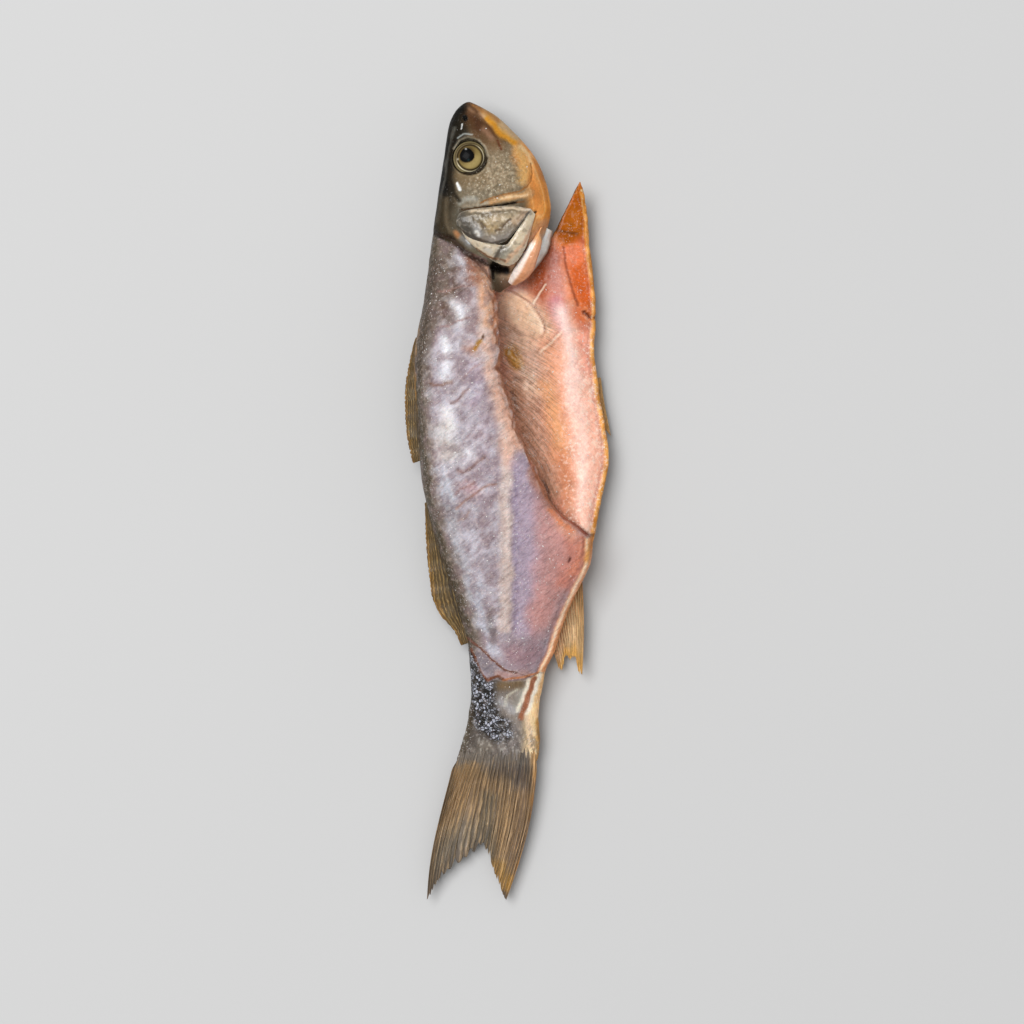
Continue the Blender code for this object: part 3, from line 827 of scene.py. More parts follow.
TRUNK_STROKES = (
    Stroke((184, 180, 190), 5.0, ((-21, 70), (-25, 55), (-25, 32), (-22, 10), (-17, -12), (-12, -36)), 0.45),
    Stroke((158, 134, 134), 3.6, ((-15, 98), (-13.6, 82), (-13.4, 64)), 0.75),
    Stroke((172, 156, 166), 5.0, ((-13, 54), (-12, 40), (-10, 22), (-10, 6)), 0.6),
    Stroke((224, 170, 134), 3.6, ((-9.6, 92), (-8.4, 82), (-7.6, 70)), 0.95, 0.7),
    Stroke((226, 184, 164), 3.4, ((-8.6, 66), (-7.6, 56), (-5, 46), (-2.4, 36), (0.4, 24), (0.8, 15)),
           0.95, 0.7),
    Stroke((232, 176, 148), 1.3, ((-3.6, 44), (0.6, 31), (4, 23.4), (8, 16)), 0.8),
    Stroke((226, 150, 104), 0.8, ((-6, 92), (-5.4, 78), (-5, 64)), 0.7),
    Stroke((80, 60, 48), 5.2, ((-28, 100), (-25, 94), (-23, 84), (-25, 76)), 0.9),
    Stroke((150, 102, 80), 2.8, ((-14, 97), (-13, 90)), 0.95),
    Stroke((210, 208, 216), 1.8, ((-20, 99), (-18.6, 96)), 0.8),
    Stroke((238, 240, 246), 2.2, ((-20.5, 79), (-18, 73)), 0.8),
    Stroke((240, 242, 246), 1.8, ((-26, 65), (-24, 60)), 0.85),
    Stroke((232, 234, 240), 2.2, ((-24.6, 54), (-25.4, 50)), 0.75),
    Stroke((232, 228, 226), 2.4, ((-25, 36), (-24, 31)), 0.75),
    Stroke((216, 208, 194), 4.0, ((-26, 27), (-24, 20)), 0.6),
    Stroke((240, 236, 240), 1.5, ((-17, 21), (-14.6, 19)), 0.75),
    Stroke((206, 212, 222), 2.4, ((-27, 12), (-25.4, 8), (-24, 3)), 0.6),
    Stroke((158, 162, 172), 2.4, ((-24.6, 2), (-22, -4)), 0.6),
    Stroke((104, 76, 60), 2.0, ((-31, 75), (-28, 80), (-25.6, 84)), 0.75),
    Stroke((186, 138, 140), 2.4, ((-17.4, 6.6), (-13.4, 4.4)), 0.55),
    Stroke((172, 156, 174), 2.4, ((-14, 63), (-12, 51), (-14, 41)), 0.6),
    Stroke((150, 148, 150), 3.0, ((-24.6, -4), (-21.4, -16), (-18.4, -30), (-14.4, -44)), 0.6),
    Stroke((176, 178, 190), 1.9, ((-17, -32), (-14.2, -42), (-11.4, -50)), 0.75),
    Stroke((184, 186, 198), 1.9, ((-12.6, -33), (-10.6, -42), (-8, -52), (-6, -60)), 0.7),
    Stroke((98, 88, 84), 1.5, ((-7, -44), (-6, -50), (-5.8, -56)), 0.6),
    Stroke((194, 172, 162), 2.5, ((-0.8, 12), (-1, -6), (-0.8, -28), (-1.2, -50)), 0.85, 0.5),
    Stroke((226, 208, 200), 0.9, ((0.6, 8), (-0.4, -10), (0, -22)), 0.6),
    Stroke((168, 150, 166), 4.6, ((6, 15), (6.6, -4), (7.6, -30), (6.4, -50)), 0.95, 0.5),
    Stroke((160, 146, 170), 0.9, ((3.0, 14), (3.2, -6), (3.2, -30), (3, -50)), 0.6),
    Stroke((196, 148, 148), 3.0, ((12.6, 3), (13.4, -12), (13.4, -32), (10.6, -52)), 0.75),
    Stroke((196, 144, 138), 5.4, ((18.4, -6), (20.4, -18), (18.4, -32), (14, -46)), 0.95, 0.7),
    Stroke((214, 134, 114), 3.4, ((26, -13), (26.6, -22), (23, -32)), 0.8),
    Stroke((238, 148, 116), 1.8, ((30, -15), (29, -21), (26, -28)), 0.8),
    Stroke((170, 112, 90), 1.8, ((9, 12), (13.4, 3.4), (18, -3)), 0.75),
    Stroke((172, 128, 108), 2.3, ((-15, 61.6), (-13, 59)), 0.85),
    Stroke((226, 158, 132), 2.0, ((20.6, -8.6), (25.6, -13.6)), 0.8),
    Stroke((152, 118, 124), 4.0, ((2, -60), (6, -63), (10, -60)), 0.75),
)

TRUNK_LINES = (
    Stroke((64, 50, 40), 2.8, ((-28.4, 95), (-32.6, 76), (-34.4, 62), (-35, 52)), 0.5),
    Stroke((134, 98, 80), 0.45, ((-31.2, 47.4), (-28.4, 46.6), (-25.6, 47.2), (-22.6, 47.8)), 0.7),
    Stroke((146, 112, 106), 0.5, ((-22.8, 39.4), (-20.4, 40.2), (-18.2, 42.8), (-16, 45.2)), 0.6),
    Stroke((150, 112, 104), 0.4, ((-28, 84.2), (-23, 84.8), (-19, 86.4), (-14, 86.8)), 0.55),
    Stroke((150, 110, 106), 0.4, ((-26.6, 70), (-22, 71.4), (-18, 73.4), (-14.4, 74)), 0.55),
    Stroke((156, 118, 112), 0.4, ((-17.4, 50.6), (-13.4, 54), (-9.4, 56)), 0.5),
    Stroke((146, 108, 98), 0.5, ((-20.2, 12.6), (-17.6, 12.2), (-15, 13.4), (-12.2, 16), (-9.4, 17.8)), 0.5),
    Stroke((164, 120, 114), 0.5, ((-21.2, 3), (-19.2, 5.2), (-15.4, 6.4), (-13.4, 8)), 0.45),
    Stroke((176, 134, 116), 0.45, ((-20.4, -2.6), (-17.4, 0.2), (-13, 3.4), (-9, 6.4), (-4.6, 7)), 0.6),
    Stroke((164, 130, 114), 0.45, ((-20, -7.4), (-17.4, -6.4), (-15.6, -4)), 0.45),
    Stroke((162, 112, 40), 0.75, ((-13.6, 61.2), (-12.2, 62.6), (-11.4, 64.2)), 0.95),
    Stroke((70, 42, 24), 0.45, ((-10.4, 65.6), (-9.7, 66.6)), 0.9),
    Stroke((168, 92, 66), 0.5, ((8.6, 17), (11, 11), (14.8, 4.6), (19, -2)), 0.8),
    Stroke((164, 70, 46), 0.6, ((19, -2), (22.6, -6.2), (27, -9), (31.4, -12.6)), 0.95),
    Stroke((226, 132, 84), 1.0, ((17, -3.4), (21.4, -8.4), (26, -11.4)), 0.7),
    Stroke((76, 34, 28), 0.45, ((24.8, -22.6), (24.2, -23.8)), 0.9),
)

WALL_STROKES = (
    Stroke((232, 162, 132), 8.0, ((12, 84), (16, 70), (18, 56), (20, 40), (21, 20), (24, 4)), 0.9),
    Stroke((200, 142, 130), 4.2, ((-1, 85), (5, 84), (10.4, 82)), 0.9),
    Stroke((176, 76, 36), 4.4, ((15, 101), (13.6, 93), (13, 85)), 0.85),
    Stroke((200, 128, 116), 3.4, ((19, 98), (18.6, 88), (20, 78)), 0.85),
    Stroke((204, 132, 148), 2.4, ((18.8, 80), (22, 70)), 0.6),
    Stroke((246, 208, 180), 5.6, ((1, 78), (5, 66), (8, 58), (9, 46)), 0.95),
    Stroke((214, 170, 142), 3.6, ((0, 68), (3.6, 62), (9, 56)), 0.7),
    Stroke((226, 182, 160), 3.0, ((10, 58), (14, 52), (15.6, 44)), 0.8),
    Stroke((206, 152, 120), 2.6, ((2.4, 46), (5.8, 33), (9, 22), (12.4, 12), (16.4, 4)), 0.9),
    Stroke((222, 172, 144), 3.4, ((9.4, 40), (12, 28), (15.4, 15), (19, 5)), 0.85),
    Stroke((238, 172, 124), 3.2, ((15.6, 46), (18.8, 33), (21.6, 18)), 0.95),
    Stroke((216, 144, 106), 3.0, ((21.6, 18), (24.6, 3), (27, -4)), 0.95),
    Stroke((238, 172, 134), 3.4, ((16.6, 60), (17.4, 50)), 0.7),
    Stroke((248, 206, 172), 4.4, ((6, 80), (10.4, 74.4), (13, 69)), 0.95, 0.6),
    Stroke((240, 190, 156), 1.5, ((4.4, 80.4), (7.4, 76), (10, 70)), 0.5),
    Stroke((214, 150, 58), 2.3, ((0.6, 59.6), (3.2, 56)), 0.9),
    # A pale band along the wall's ridge: partly the flesh's own colour and partly a painted highlight.
    Stroke((246, 214, 204), 2.6, ((21, 76), (24.6, 66), (25.8, 54), (26.8, 42)), 0.9),
    Stroke((255, 210, 196), 4.4, ((27, 50), (29, 38), (31, 22), (31.4, 8), (31, -4)), 0.9),
    Stroke((250, 184, 158), 3.2, ((32.4, 44), (35, 30), (36.2, 16), (34.6, 4), (32.6, -6)), 0.8),
    Stroke((246, 168, 146), 2.4, ((30, 66), (31.4, 54)), 0.8),
    Stroke((200, 110, 84), 2.2, ((27.8, 76), (30.4, 70)), 0.7),
    Stroke((240, 124, 76), 4.4, ((25.4, 103), (27.4, 93), (29.4, 84)), 0.95, 0.7),
    Stroke((206, 92, 30), 3.2, ((28.4, 93), (29.8, 84), (31.4, 76)), 0.85),
    Stroke((236, 138, 104), 2.2, ((24.6, 101.6), (26.4, 96.4)), 0.7),
    Stroke((170, 74, 48), 1.4, ((20.6, 107), (26, 106), (31, 105)), 0.8),
    Stroke((170, 86, 6), 7.0, ((29.6, 126), (27, 117), (24.4, 110.6)), 1.0, 0.35),
    Stroke((186, 104, 22), 3.0, ((26.6, 116), (28.4, 112), (25, 111)), 0.6),
)

WALL_LINES = (
    Stroke((250, 226, 202), 0.4, ((15, 87), (12.6, 83.4), (9.8, 78.6)), 0.85),
    Stroke((246, 214, 184), 0.4, ((21.4, 68), (17, 63.4), (12.6, 59.8)), 0.8),
    Stroke((176, 112, 90), 0.3, ((2.6, 83.2), (7.4, 81), (11.4, 77.4), (14.2, 72), (15, 67.4)), 0.6),
    Stroke((118, 50, 30), 0.45, ((22.2, 102), (23.4, 94), (25.4, 86), (28, 79)), 0.5),
    Stroke((82, 34, 20), 0.5, ((30.6, 76), (33.4, 73.4), (35, 73.8)), 0.9),
    Stroke((78, 42, 18), 0.45, ((28.4, 128.6), (24, 119.6), (20.4, 112), (19.6, 109)), 0.9),
    Stroke((96, 50, 22), 0.45, ((18.4, 108.4), (21.6, 108.2), (27.6, 107.4)), 0.6),
    Stroke((238, 220, 168), 0.35, ((29.4, 125), (31, 119), (31.2, 113)), 0.85),
    Stroke((248, 240, 206), 0.4, ((0.4, 60.4), (0.7, 59.2)), 0.9),
    Stroke((226, 206, 190), 0.35, ((4.6, 56.6), (6.4, 52.8)), 0.6),
    Stroke((214, 180, 156), 0.4, ((2.4, 49.4), (7, 49), (9, 47.4)), 0.6),
    Stroke((132, 98, 80), 0.5, ((1.6, 44), (4, 36)), 0.6),
    Stroke((60, 40, 34), 0.6, ((14, 8), (16.4, 4)), 0.6),
)

STALK_STROKES = (
    Stroke((150, 138, 128), 6.0, ((4, -76), (2, -84), (2, -96)), 0.85),
    Stroke((164, 160, 150), 2.2, ((6.4, -76), (4, -82)), 0.8),
    Stroke((176, 174, 178), 1.6, ((-3, -79.6), (2, -83.4)), 0.7),
    Stroke((134, 126, 122), 4.6, ((1.4, -94), (1.6, -102)), 0.9),
    Stroke((134, 124, 112), 3.0, ((-9, -98), (-14, -103)), 0.8),
    Stroke((60, 50, 36), 1.8, ((-14.4, -62), (-14.4, -76), (-15.4, -86), (-17.4, -94), (-20.4, -103)),
           0.95, 0.8),
    Stroke((255, 222, 172), 4.4, ((13.8, -68), (12.2, -78), (11, -88), (10.8, -99)), 1.0, 0.6),
    Stroke((250, 196, 136), 1.8, ((15.2, -66), (13.4, -76), (12.2, -84)), 0.9),
    Stroke((255, 244, 226), 0.9, ((12.8, -68.4), (10.4, -76.4), (7.6, -84.4)), 0.95, 0.6),
    Stroke((246, 236, 216), 0.8, ((8.2, -71), (6.6, -77), (3.8, -83.6)), 0.9, 0.6),
    Stroke((160, 102, 74), 1.1, ((10.5, -70.4), (8.2, -77.4), (5.2, -86.4)), 1.0, 0.4),
    Stroke((226, 196, 168), 1.0, ((7.4, -86), (9, -92), (9.4, -98)), 0.7),
    Stroke((182, 122, 46), 1.3, ((12.4, -87), (12.8, -95), (12.2, -104)), 0.95, 0.7),
    Stroke((118, 92, 60), 1.6, ((-3, -73.4), (4.6, -73)), 0.7),
    Stroke((226, 220, 198), 0.4, ((-1, -81.4), (-0.4, -77.6), (4, -75)), 0.7),
)

PATCH_STROKES = (
    Stroke((130, 120, 126), 2.4, ((-12, -62), (-9, -66), (-5.4, -68.4)), 0.95),
    Stroke((178, 138, 130), 1.4, ((-4, -68.8), (2, -69.4), (8, -69)), 0.8),
    Stroke((110, 62, 40), 0.6, ((-14.8, -59), (-12.8, -64), (-10.6, -69.2), (-8.4, -71.2), (-4.5, -69.7),
                                 (-2, -70.8)), 0.95, 0.6),
    Stroke((182, 116, 76), 0.45, ((-2, -71), (6.7, -70.2), (11.8, -68.2), (14.4, -65.8)), 0.9, 0.6),
    Stroke((106, 62, 46), 0.42, ((-16.4, -54.4), (-13, -57), (-10.6, -58.6), (-6, -63.4), (-1.6, -67),
                                 (3.2, -68.2)), 0.95, 0.5),
)

HEAD_CREASES = (
    Crease(0.7, 0.3, ((-16.2, 159.4), (-13.4, 157.6), (-9.8, 153.6), (-7, 149.6), (-4.2, 145.8))),
    Crease(0.5, 0.3, ((-3.8, 144.8), (-3.3, 142.4), (-2.6, 141.2))),
    Crease(0.55, 0.8, ((-11, 118), (-6, 118.3), (-2, 118.9), (3, 119.8))),
    Crease(0.6, 0.6, ((11, 116), (8, 113.4), (5, 110.6), (1, 104.4), (-2, 102.5), (-7.3, 102.3))),
    Crease(0.7, 0.7, ((-19.6, 109.4), (-18, 107), (-14, 103.6), (-11, 101.8))),
    Crease(0.8, 0.7, ((-18.6, 116.8), (-13, 117.7))),
    Crease(0.6, 0.4, ((9.2, 134.6), (9.6, 129.7), (7.5, 126), (4.7, 124.6), (-2.2, 122.8), (-7, 121.3),
                      (-11, 118.9))),
    Crease(1.3, 0.8, ((-21.6, 144.5), (-23.2, 139), (-23.4, 130), (-22, 123.6), (-19.4, 120.4))),
    Crease(0.9, 1.1, ((-17.3, 153.9), (-17, 153.4))),
    Crease(0.8, -0.4, ((-21.2, 141.8), (-19.4, 145.2), (-15.8, 146.6), (-12, 145.2), (-9.4, 142.6),
                       (-8, 139))),
    Crease(1.2, -0.35, ((-6.4, 152.4), (-1.4, 147.6), (3.6, 143.6))),
    Crease(1.4, -0.5, ((8.4, 122.6), (0, 121.1), (-6.5, 119.9))),
    Crease(1.0, 1.1, SHOULDER),
    Crease(1.5, -0.7, ((16.3, 107.6), (13.6, 101), (10.2, 95.6))),
    Crease(0.8, 1.0, ((18.2, 106.4), (15.2, 99), (11, 93.4), (6.6, 88.6), (3.6, 85.8))),
    Crease(0.7, 0.9, ((10.4, 104), (5.6, 96.4), (1.6, 91))),
    Crease(1.7, 7.5, ((-4.8, 93.6), (-3.2, 93), (-1.4, 92.6))),
)

FLESH_CREASES = (
    Crease(0.6, 0.16, ((-31.2, 47.4), (-28.4, 46.6), (-25.6, 47.2), (-22.6, 47.8))),
    Crease(0.6, 0.16, ((-22.8, 39.4), (-20.4, 40.2), (-18.2, 42.8), (-16, 45.2))),
    Crease(0.7, 0.16, ((-28, 84.2), (-23, 84.8), (-19, 86.4), (-14, 86.8))),
    Crease(0.7, 0.16, ((-26.6, 70), (-22, 71.4), (-18, 73.4), (-14.4, 74))),
    Crease(0.7, 0.24, ((-20.2, 13.4), (-18, 11.4), (-15, 13.2), (-12.2, 16), (-9.4, 17.8))),
    Crease(0.6, 0.2, ((-21.2, 2), (-19.2, 5.2), (-15.4, 6.4), (-13.4, 8))),
    Crease(0.6, 0.16, ((-20.4, -2.6), (-17.4, 0.2), (-13, 3.4), (-9, 6.4), (-4.6, 7))),
    Crease(0.8, 0.8, ((15.6, 3), (19, -2), (22.6, -6.2), (27, -9), (31.4, -12.6))),
    Crease(2.6, -0.4, ((-0.6, 12), (-1, -6), (-0.6, -28), (-1.2, -60))),
    Crease(1.0, 0.08, ((3.2, 14), (3.2, -20), (3, -56))),
)

WALL_CREASES = (
    Crease(0.5, -0.35, ((15, 87), (12.6, 83.4), (9.8, 78.6))),
    Crease(0.5, -0.35, ((21.4, 68), (17, 63.4), (12.6, 59.8))),
    Crease(0.7, 0.9, ((30.6, 76), (33.4, 73.4), (35, 73.8))),
    Crease(0.8, 0.25, ((22.2, 102), (23.4, 94), (25.4, 86), (28, 79))),
    Crease(1.2, -0.6, ((0.6, 59.6), (3.2, 56))),
    Crease(1.0, 0.6, ((2.4, 49.4), (7, 49), (9, 47.4))),
)


@dataclass
class Body:
    """The head, the peeled trunk, the open belly wall and the tail stalk, which are one piece of flesh."""

    voxel: float = 0.8
    smoothing: int = 8
    rim_width: float = 1.7
    scallop: float = 0.8
    vent_shift: float = 2.0
    rim_shift: Array | float = 0.0
    finish: FleshFinish = field(default_factory=FleshFinish)
    sculpture: Sculpture = field(init=False)
    up: Array = field(init=False)
    head: Array = field(init=False)
    wall: Array = field(init=False)
    stalk: Array = field(init=False)
    trunk: Array = field(init=False)
    ahead: Array = field(init=False)
    past_cut: Array = field(init=False)
    from_rim: Array = field(init=False)

    def build(self) -> bpy.types.Object:
        """Shapes and paints the body, and returns it."""
        self.sculpture = Sculpture(copy_of_node("body", self.voxel, self.smoothing, self.needs_detail))
        self.find_regions()
        self.shape()
        self.find_regions()
        self.paint_far_side()
        self.paint_trunk()
        self.paint_wall()
        self.paint_head()
        self.paint_stalk()
        self.paint_rims()
        self.lay_patterns()
        self.paint_crest_light_and_furrow_shade()
        return self.sculpture.finish("fish_body", self.finish.material(), "body", Slot.FLESH)

    def paint_crest_light_and_furrow_shade(self) -> None:
        """Paints highlights on the crests and shade in the furrows, less so on the head."""
        s = self.sculpture
        crest = s.raised() * (1 - 0.7 * self.head)
        # Painted highlights on the crests and painted shade in the furrows.
        s.paint((255, 250, 246), smooth_step(0.25, 1.0, crest) * 0.14 * self.up)
        furrow = smooth_step(-0.1, -0.9, crest)[:, None]
        s.colour *= 1 - 0.14 * furrow * np.array((0.8, 1.0, 1.05))

    @staticmethod
    def needs_detail(middle: Vector, normal: Vector) -> bool:
        """Tells whether a face is on the upper side of the head, the shoulder or the tail stalk's front."""
        return normal.z > 0.02 and (middle.y > 80 or -74 < middle.y < -54)

    def find_regions(self) -> None:
        """Works out where each point lies: on which side of the cut, the shoulder and the skin's edge."""
        s = self.sculpture
        x, y, z = s.points.T
        self.up = smooth_step(-0.12, 0.22, s.normals[:, 2])
        self.ahead = path_distance(s.seen, SHOULDER)
        self.past_cut = x - CUT_EDGE(y)
        low = z < 17.5 - 0.06 * (y - 60)
        on_wall = smooth_step(-0.6, 0.4, self.past_cut) * (y > -13) * low
        tip = (x > THROAT(y) + 0.6) & (y > 84)
        self.wall = np.where(tip, 1.0, on_wall)
        shoulder_line = 107 - 0.46 * (x + 30)
        in_front = smooth_step(-0.4, 0.5, s.seen[:, 1] - shoulder_line)
        throat = smooth_step(0.8, -0.2, x - THROAT(y)) * (y > 84) * (z > 11.5)
        beside_hole = smooth_step(-1.2, 0.4, x - CUT_EDGE(y)) * throat
        self.head = np.maximum(in_front * (x < 15 + (y > 110) * 8), beside_hole) * np.where(tip, 0.0, 1.0)
        self.head = np.where((y > 112) & (x < THROAT(y) + 2), 1.0, self.head)
        self.wall *= 1 - self.head
        self.from_rim = np.where(y > -13, RIM(y) - x, 99.0)
        self.stalk = smooth_step(0.25, -0.25, y - STALK_EDGE(x)) * (y < -50)
        self.trunk = (1 - self.wall) * (1 - self.head) * (1 - self.stalk)

    def shape(self) -> None:
        """Adds the relief: lumps, creases, ridges, the cut's scallops, the lobe and the edges of skin."""
        s = self.sculpture
        x, y, z = s.points.T
        top = self.up
        at = s.warped(0.35, 3.2, 3)
        lumps = 0.3 * s.clouds(9, 1) + 0.16 * s.clouds(3.4, 2) + 0.09 * s.clouds(1.7, 4)
        height = lumps * (0.35 + 0.65 * top) * (1 - 0.45 * self.head)
        wrinkles = s.streaks(np.stack([(y - 0.8 * x) * 0.34, (x + 0.8 * y) * 0.1, z * 0.1], 1), 7)
        calm = smooth_step(-2, -8, self.past_cut) * smooth_step(-56, -50, y) * smooth_step(6, -2, x)
        height += (0.05 + 0.14 * smooth_step(-0.2, 0.5, s.clouds(12, 9))) * wrinkles * top * self.trunk * calm
        ribs = s.streaks(np.stack([self.rib_place() * 0.5, y * 0.05, z * 0], 1), 8)
        height += 0.22 * ribs * top * self.wall * smooth_step(20, 14, x) * smooth_step(62, 54, y)
        by_shoulder = (np.abs(self.ahead) < 2.4) * (1 - self.wall)
        height += s.relief(HEAD_CREASES, s.seen) * top * (self.head + by_shoulder).clip(0, 1)
        height += s.relief(FLESH_CREASES, at) * top * (1 - self.head)
        height += s.relief(WALL_CREASES, at) * top * self.wall
        height += 0.9 * self.lobe(at) * top * self.wall
        rim = bell(self.from_rim - 1.0, 0.8) * 0.75
        rim -= bell(self.from_rim - 2.6, 0.6) * 0.15
        height += rim * top * self.wall * smooth_step(118, 112, y)
        fringe = self.vent_rim()
        height += (0.6 * bell(fringe - 1.6, 1.0) - 0.2 * bell(fringe - 3.4, 0.6)) * top
        height += 0.45 * self.stalk * top
        cut_skin = smooth_step(0.5, -0.5, self.skin_step(at)) * smooth_step(-40, -58, y)
        height += 0.35 * cut_skin * top * (1 - self.stalk)
        s.push(height)
        self.press_sockets()
        self.shape_cut_edge(fringe)
        s.measure()

    def rib_place(self) -> Array:
        """Returns a measure that is level along each of the wall's ribs, which bend towards the head."""
        x, y, _ = self.sculpture.points.T
        return x + 0.4 * (y - 10) + 0.0122 * np.maximum(y - 10, 0) ** 2

    def press_sockets(self) -> None:
        """Presses the two eye sockets in."""
        points = self.sculpture.points
        depth = 2.0 * smooth_step(SOCKET, SOCKET - 0.7, np.hypot(*(self.sculpture.plan - EYE_PLACE).T))
        points[:, 2] += np.where(points[:, 2] > 15, -depth, depth)

    def shape_cut_edge(self, fringe: Array) -> None:
        """Scallops the cut edge beside the cavity and moves the vent's rim outwards.

        Args:
            fringe: how far each point lies inside the body's edge behind the vent.
        """
        s = self.sculpture
        _, y, z = s.points.T
        wave = 0.55 * s.clouds(2.6, 11) + 0.75 * s.clouds(5.5, 12)
        near = bell(self.past_cut, 2.6) * smooth_step(14, 24, z) * smooth_step(-2, 8, y)
        near *= smooth_step(96, 90, y)
        s.points[:, 0] += (wave * self.scallop * 1.6 + 0.8) * near
        s.points[:, 0] += self.vent_shift * smooth_step(6, 0, fringe) * self.behind_vent(y)
        s.points[:, 0] -= 1.3 * bell(y - 52.6, 1.3) * near

    @staticmethod
    def behind_vent(y: Array) -> Array:
        """Returns 1 from the vent to the tail stalk, and 0 further off."""
        return smooth_step(-16, -26, y) * smooth_step(-68, -58, y)

    def lobe(self, at: Array) -> Array:
        """Returns 1 on the leaf-shaped lobe on the wall's upper end: crisp on its outer side, soft within."""
        turned = math.radians(-43)
        along = (at[:, 0] - 5) * math.cos(turned) + (at[:, 1] - 75.6) * math.sin(turned)
        across = -(at[:, 0] - 5) * math.sin(turned) + (at[:, 1] - 75.6) * math.cos(turned)
        inside = 1 - np.hypot(along / 12.6, across / np.where(across > 0, 5.2, 7.2))
        softer = smooth_step(1.5, -2.5, across)
        return smooth_step(-0.02, 0.08, inside) * (1 - softer) + smooth_step(0.0, 0.6, inside) * softer

    def vent_rim(self) -> Array:
        """Returns how far each point lies inside the body's edge from the vent to the tail stalk."""
        x, y, _ = self.sculpture.points.T
        return np.where((y < -14) & (y > -68), CUT_EDGE(y) + self.rim_shift - x, 99.0)

    def skin_step(self, at: Array) -> Array:
        """Returns how far each point lies behind the flesh's rear edge, negative ahead of it."""
        return path_distance(at, FLESH_END)

    def paint_far_side(self) -> None:
        """Paints the skin of the far side: dark along the back, silver on the flank, golden at the belly."""
        s = self.sculpture
        x, y, _ = s.points.T
        right = np.maximum(np.where(y > -13, RIM(y), CUT_EDGE(y)), THROAT(y) * (y > 112))
        share = (x - BACK(y)) / (right - BACK(y)) + 0.07 * s.clouds(9, 21)
        s.paint((70, 64, 54))
        s.paint((150, 146, 138), smooth_step(0.16, 0.4, share))
        s.paint((196, 176, 146), smooth_step(0.45, 0.75, share))
        s.paint((200, 142, 76), smooth_step(0.72, 0.95, share))

    def paint_trunk(self) -> None:
        """Paints the peeled flesh, from the dark back over white and lavender to the peach cut edge."""
        s = self.sculpture
        at = s.warped(1.6, 6.0, 31)
        mask = self.trunk * self.up
        s.paint((158, 143, 150), mask)
        s.brush(TRUNK_STROKES, at, mask)
        x, y, _ = s.points.T
        inward = x - BACK(y) + 1.3 * s.clouds(5.0, 37) + 0.6 * s.clouds(2.0, 38)
        wide = Profile((104, 4.8), (84, 3.6), (70, 1.6), (56, 1.0), (40, 0.0))(y)
        margin = smooth_step(8.0, 3.6, inward - wide) * smooth_step(-70, -50, y) * (y < 104)
        s.paint((112, 98, 88), margin * mask)
        s.paint((70, 60, 45), smooth_step(4.4, 1.6, inward) * mask)
        golden = smooth_step(1.4, 0.4, inward) * smooth_step(30, 44, y) * smooth_step(76, 66, y)
        s.paint((160, 116, 56), golden * mask)
        patches = s.clouds(5.0, 33) + 0.6 * s.clouds(2.2, 34)
        left = smooth_step(2, -6, s.points[:, 0]) * mask
        s.paint((206, 206, 216), smooth_step(-0.1, 0.5, patches) * 0.4 * left * smooth_step(2.6, 5, inward))
        s.paint((130, 110, 114), smooth_step(0.0, -0.5, patches) * 0.45 * left)
        s.brush(TRUNK_LINES, s.warped(0.7, 2.4, 36), mask)
        face = smooth_step(0.55, 0.2, s.normals[:, 2]) * smooth_step(-2.5, -0.5, self.past_cut) * self.trunk
        s.paint((176, 112, 78), face * smooth_step(-16, 6, s.points[:, 1]) * 0.85)

    def paint_wall(self) -> None:
        """Paints the inside of the belly wall."""
        s = self.sculpture
        at = s.warped(1.1, 5.0, 41)
        mask = self.wall * self.up
        s.paint((232, 166, 138), mask)
        s.brush(WALL_STROKES, at, mask)
        s.paint((246, 202, 164), self.lobe(at) * mask * 0.5)
        s.brush((Stroke((255, 222, 192), 2.0, ((9.4, 74), (12.6, 69.2)), 0.7),), at, mask)
        speckle = smooth_step(0.15, 0.6, s.clouds(1.6, 44) + 0.6 * s.clouds(4.5, 45))
        pale = smooth_step(22, 27, s.points[:, 0]) * smooth_step(56, 44, s.points[:, 1])
        s.paint((255, 226, 206), speckle * 0.55 * mask * pale)
        s.brush(WALL_LINES, s.warped(0.4, 2.4, 46), mask)

    def paint_head(self) -> None:
        """Paints the head: dark above, grey and grainy on the cheek, orange along the jaw and the throat,
        with painted highlights and painted shade.
        """
        s = self.sculpture
        at = s.warped(0.7, 3.5, 51)
        mask = self.head * self.up
        s.paint((96, 84, 66), mask)
        s.brush(HEAD_STROKES, at, mask)
        x, y, z = s.points.T
        inside = x - THROAT(y)
        throat = mask * smooth_step(-10, -6, inside) * smooth_step(104, 110, y) * smooth_step(146, 138, y)
        throat *= smooth_step(4, 7, path_distance(s.seen, ((9.6, 142), (9.6, 130), (6, 124))) + 6)
        folds = s.streaks(np.stack([inside * 0.34, y * 0.07, z * 0.05], 1), 57)
        # Painted highlights on the crests of the throat's folds and painted shade between them.
        s.paint((252, 204, 146), smooth_step(0.6, 1.0, folds) * throat * 0.55)
        s.paint((186, 112, 54), smooth_step(0.3, 0.0, folds) * throat * 0.35)
        grains = smooth_step(0.05, 0.55, s.clouds(1.25, 53) + 0.5 * s.clouds(0.85, 54))
        cheek = bell(path_distance(s.seen, ((-11, 126), (-1, 135), (1, 129), (-8, 125))), 6.5)
        s.paint((206, 194, 170), grains * cheek * 0.45 * mask)
        s.paint((92, 80, 62), smooth_step(-0.1, -0.55, s.clouds(1.3, 55)) * cheek * 0.45 * mask)
        s.floats["pitted"] = cheek * mask * smooth_step(6.0, 3.4, s.points[:, 0])
        reach = np.hypot(*(s.plan - EYE_PLACE).T)
        # Painted shade in the eye socket, round the eye.
        s.paint((40, 32, 20), smooth_step(SOCKET + 0.1, SOCKET - 0.4, reach) * mask)
        s.paint((168, 156, 126), bell(reach - SOCKET - 0.3, 0.3) * 0.25 * mask)
        s.brush(HEAD_LINES, s.warped(0.25, 2.0, 56), np.maximum(mask, (np.abs(self.ahead) < 4) * self.up))
        s.brush((Stroke((50, 36, 28), 0.9, SHOULDER, 0.85, 0.8),), at, self.up * (1 - self.wall))

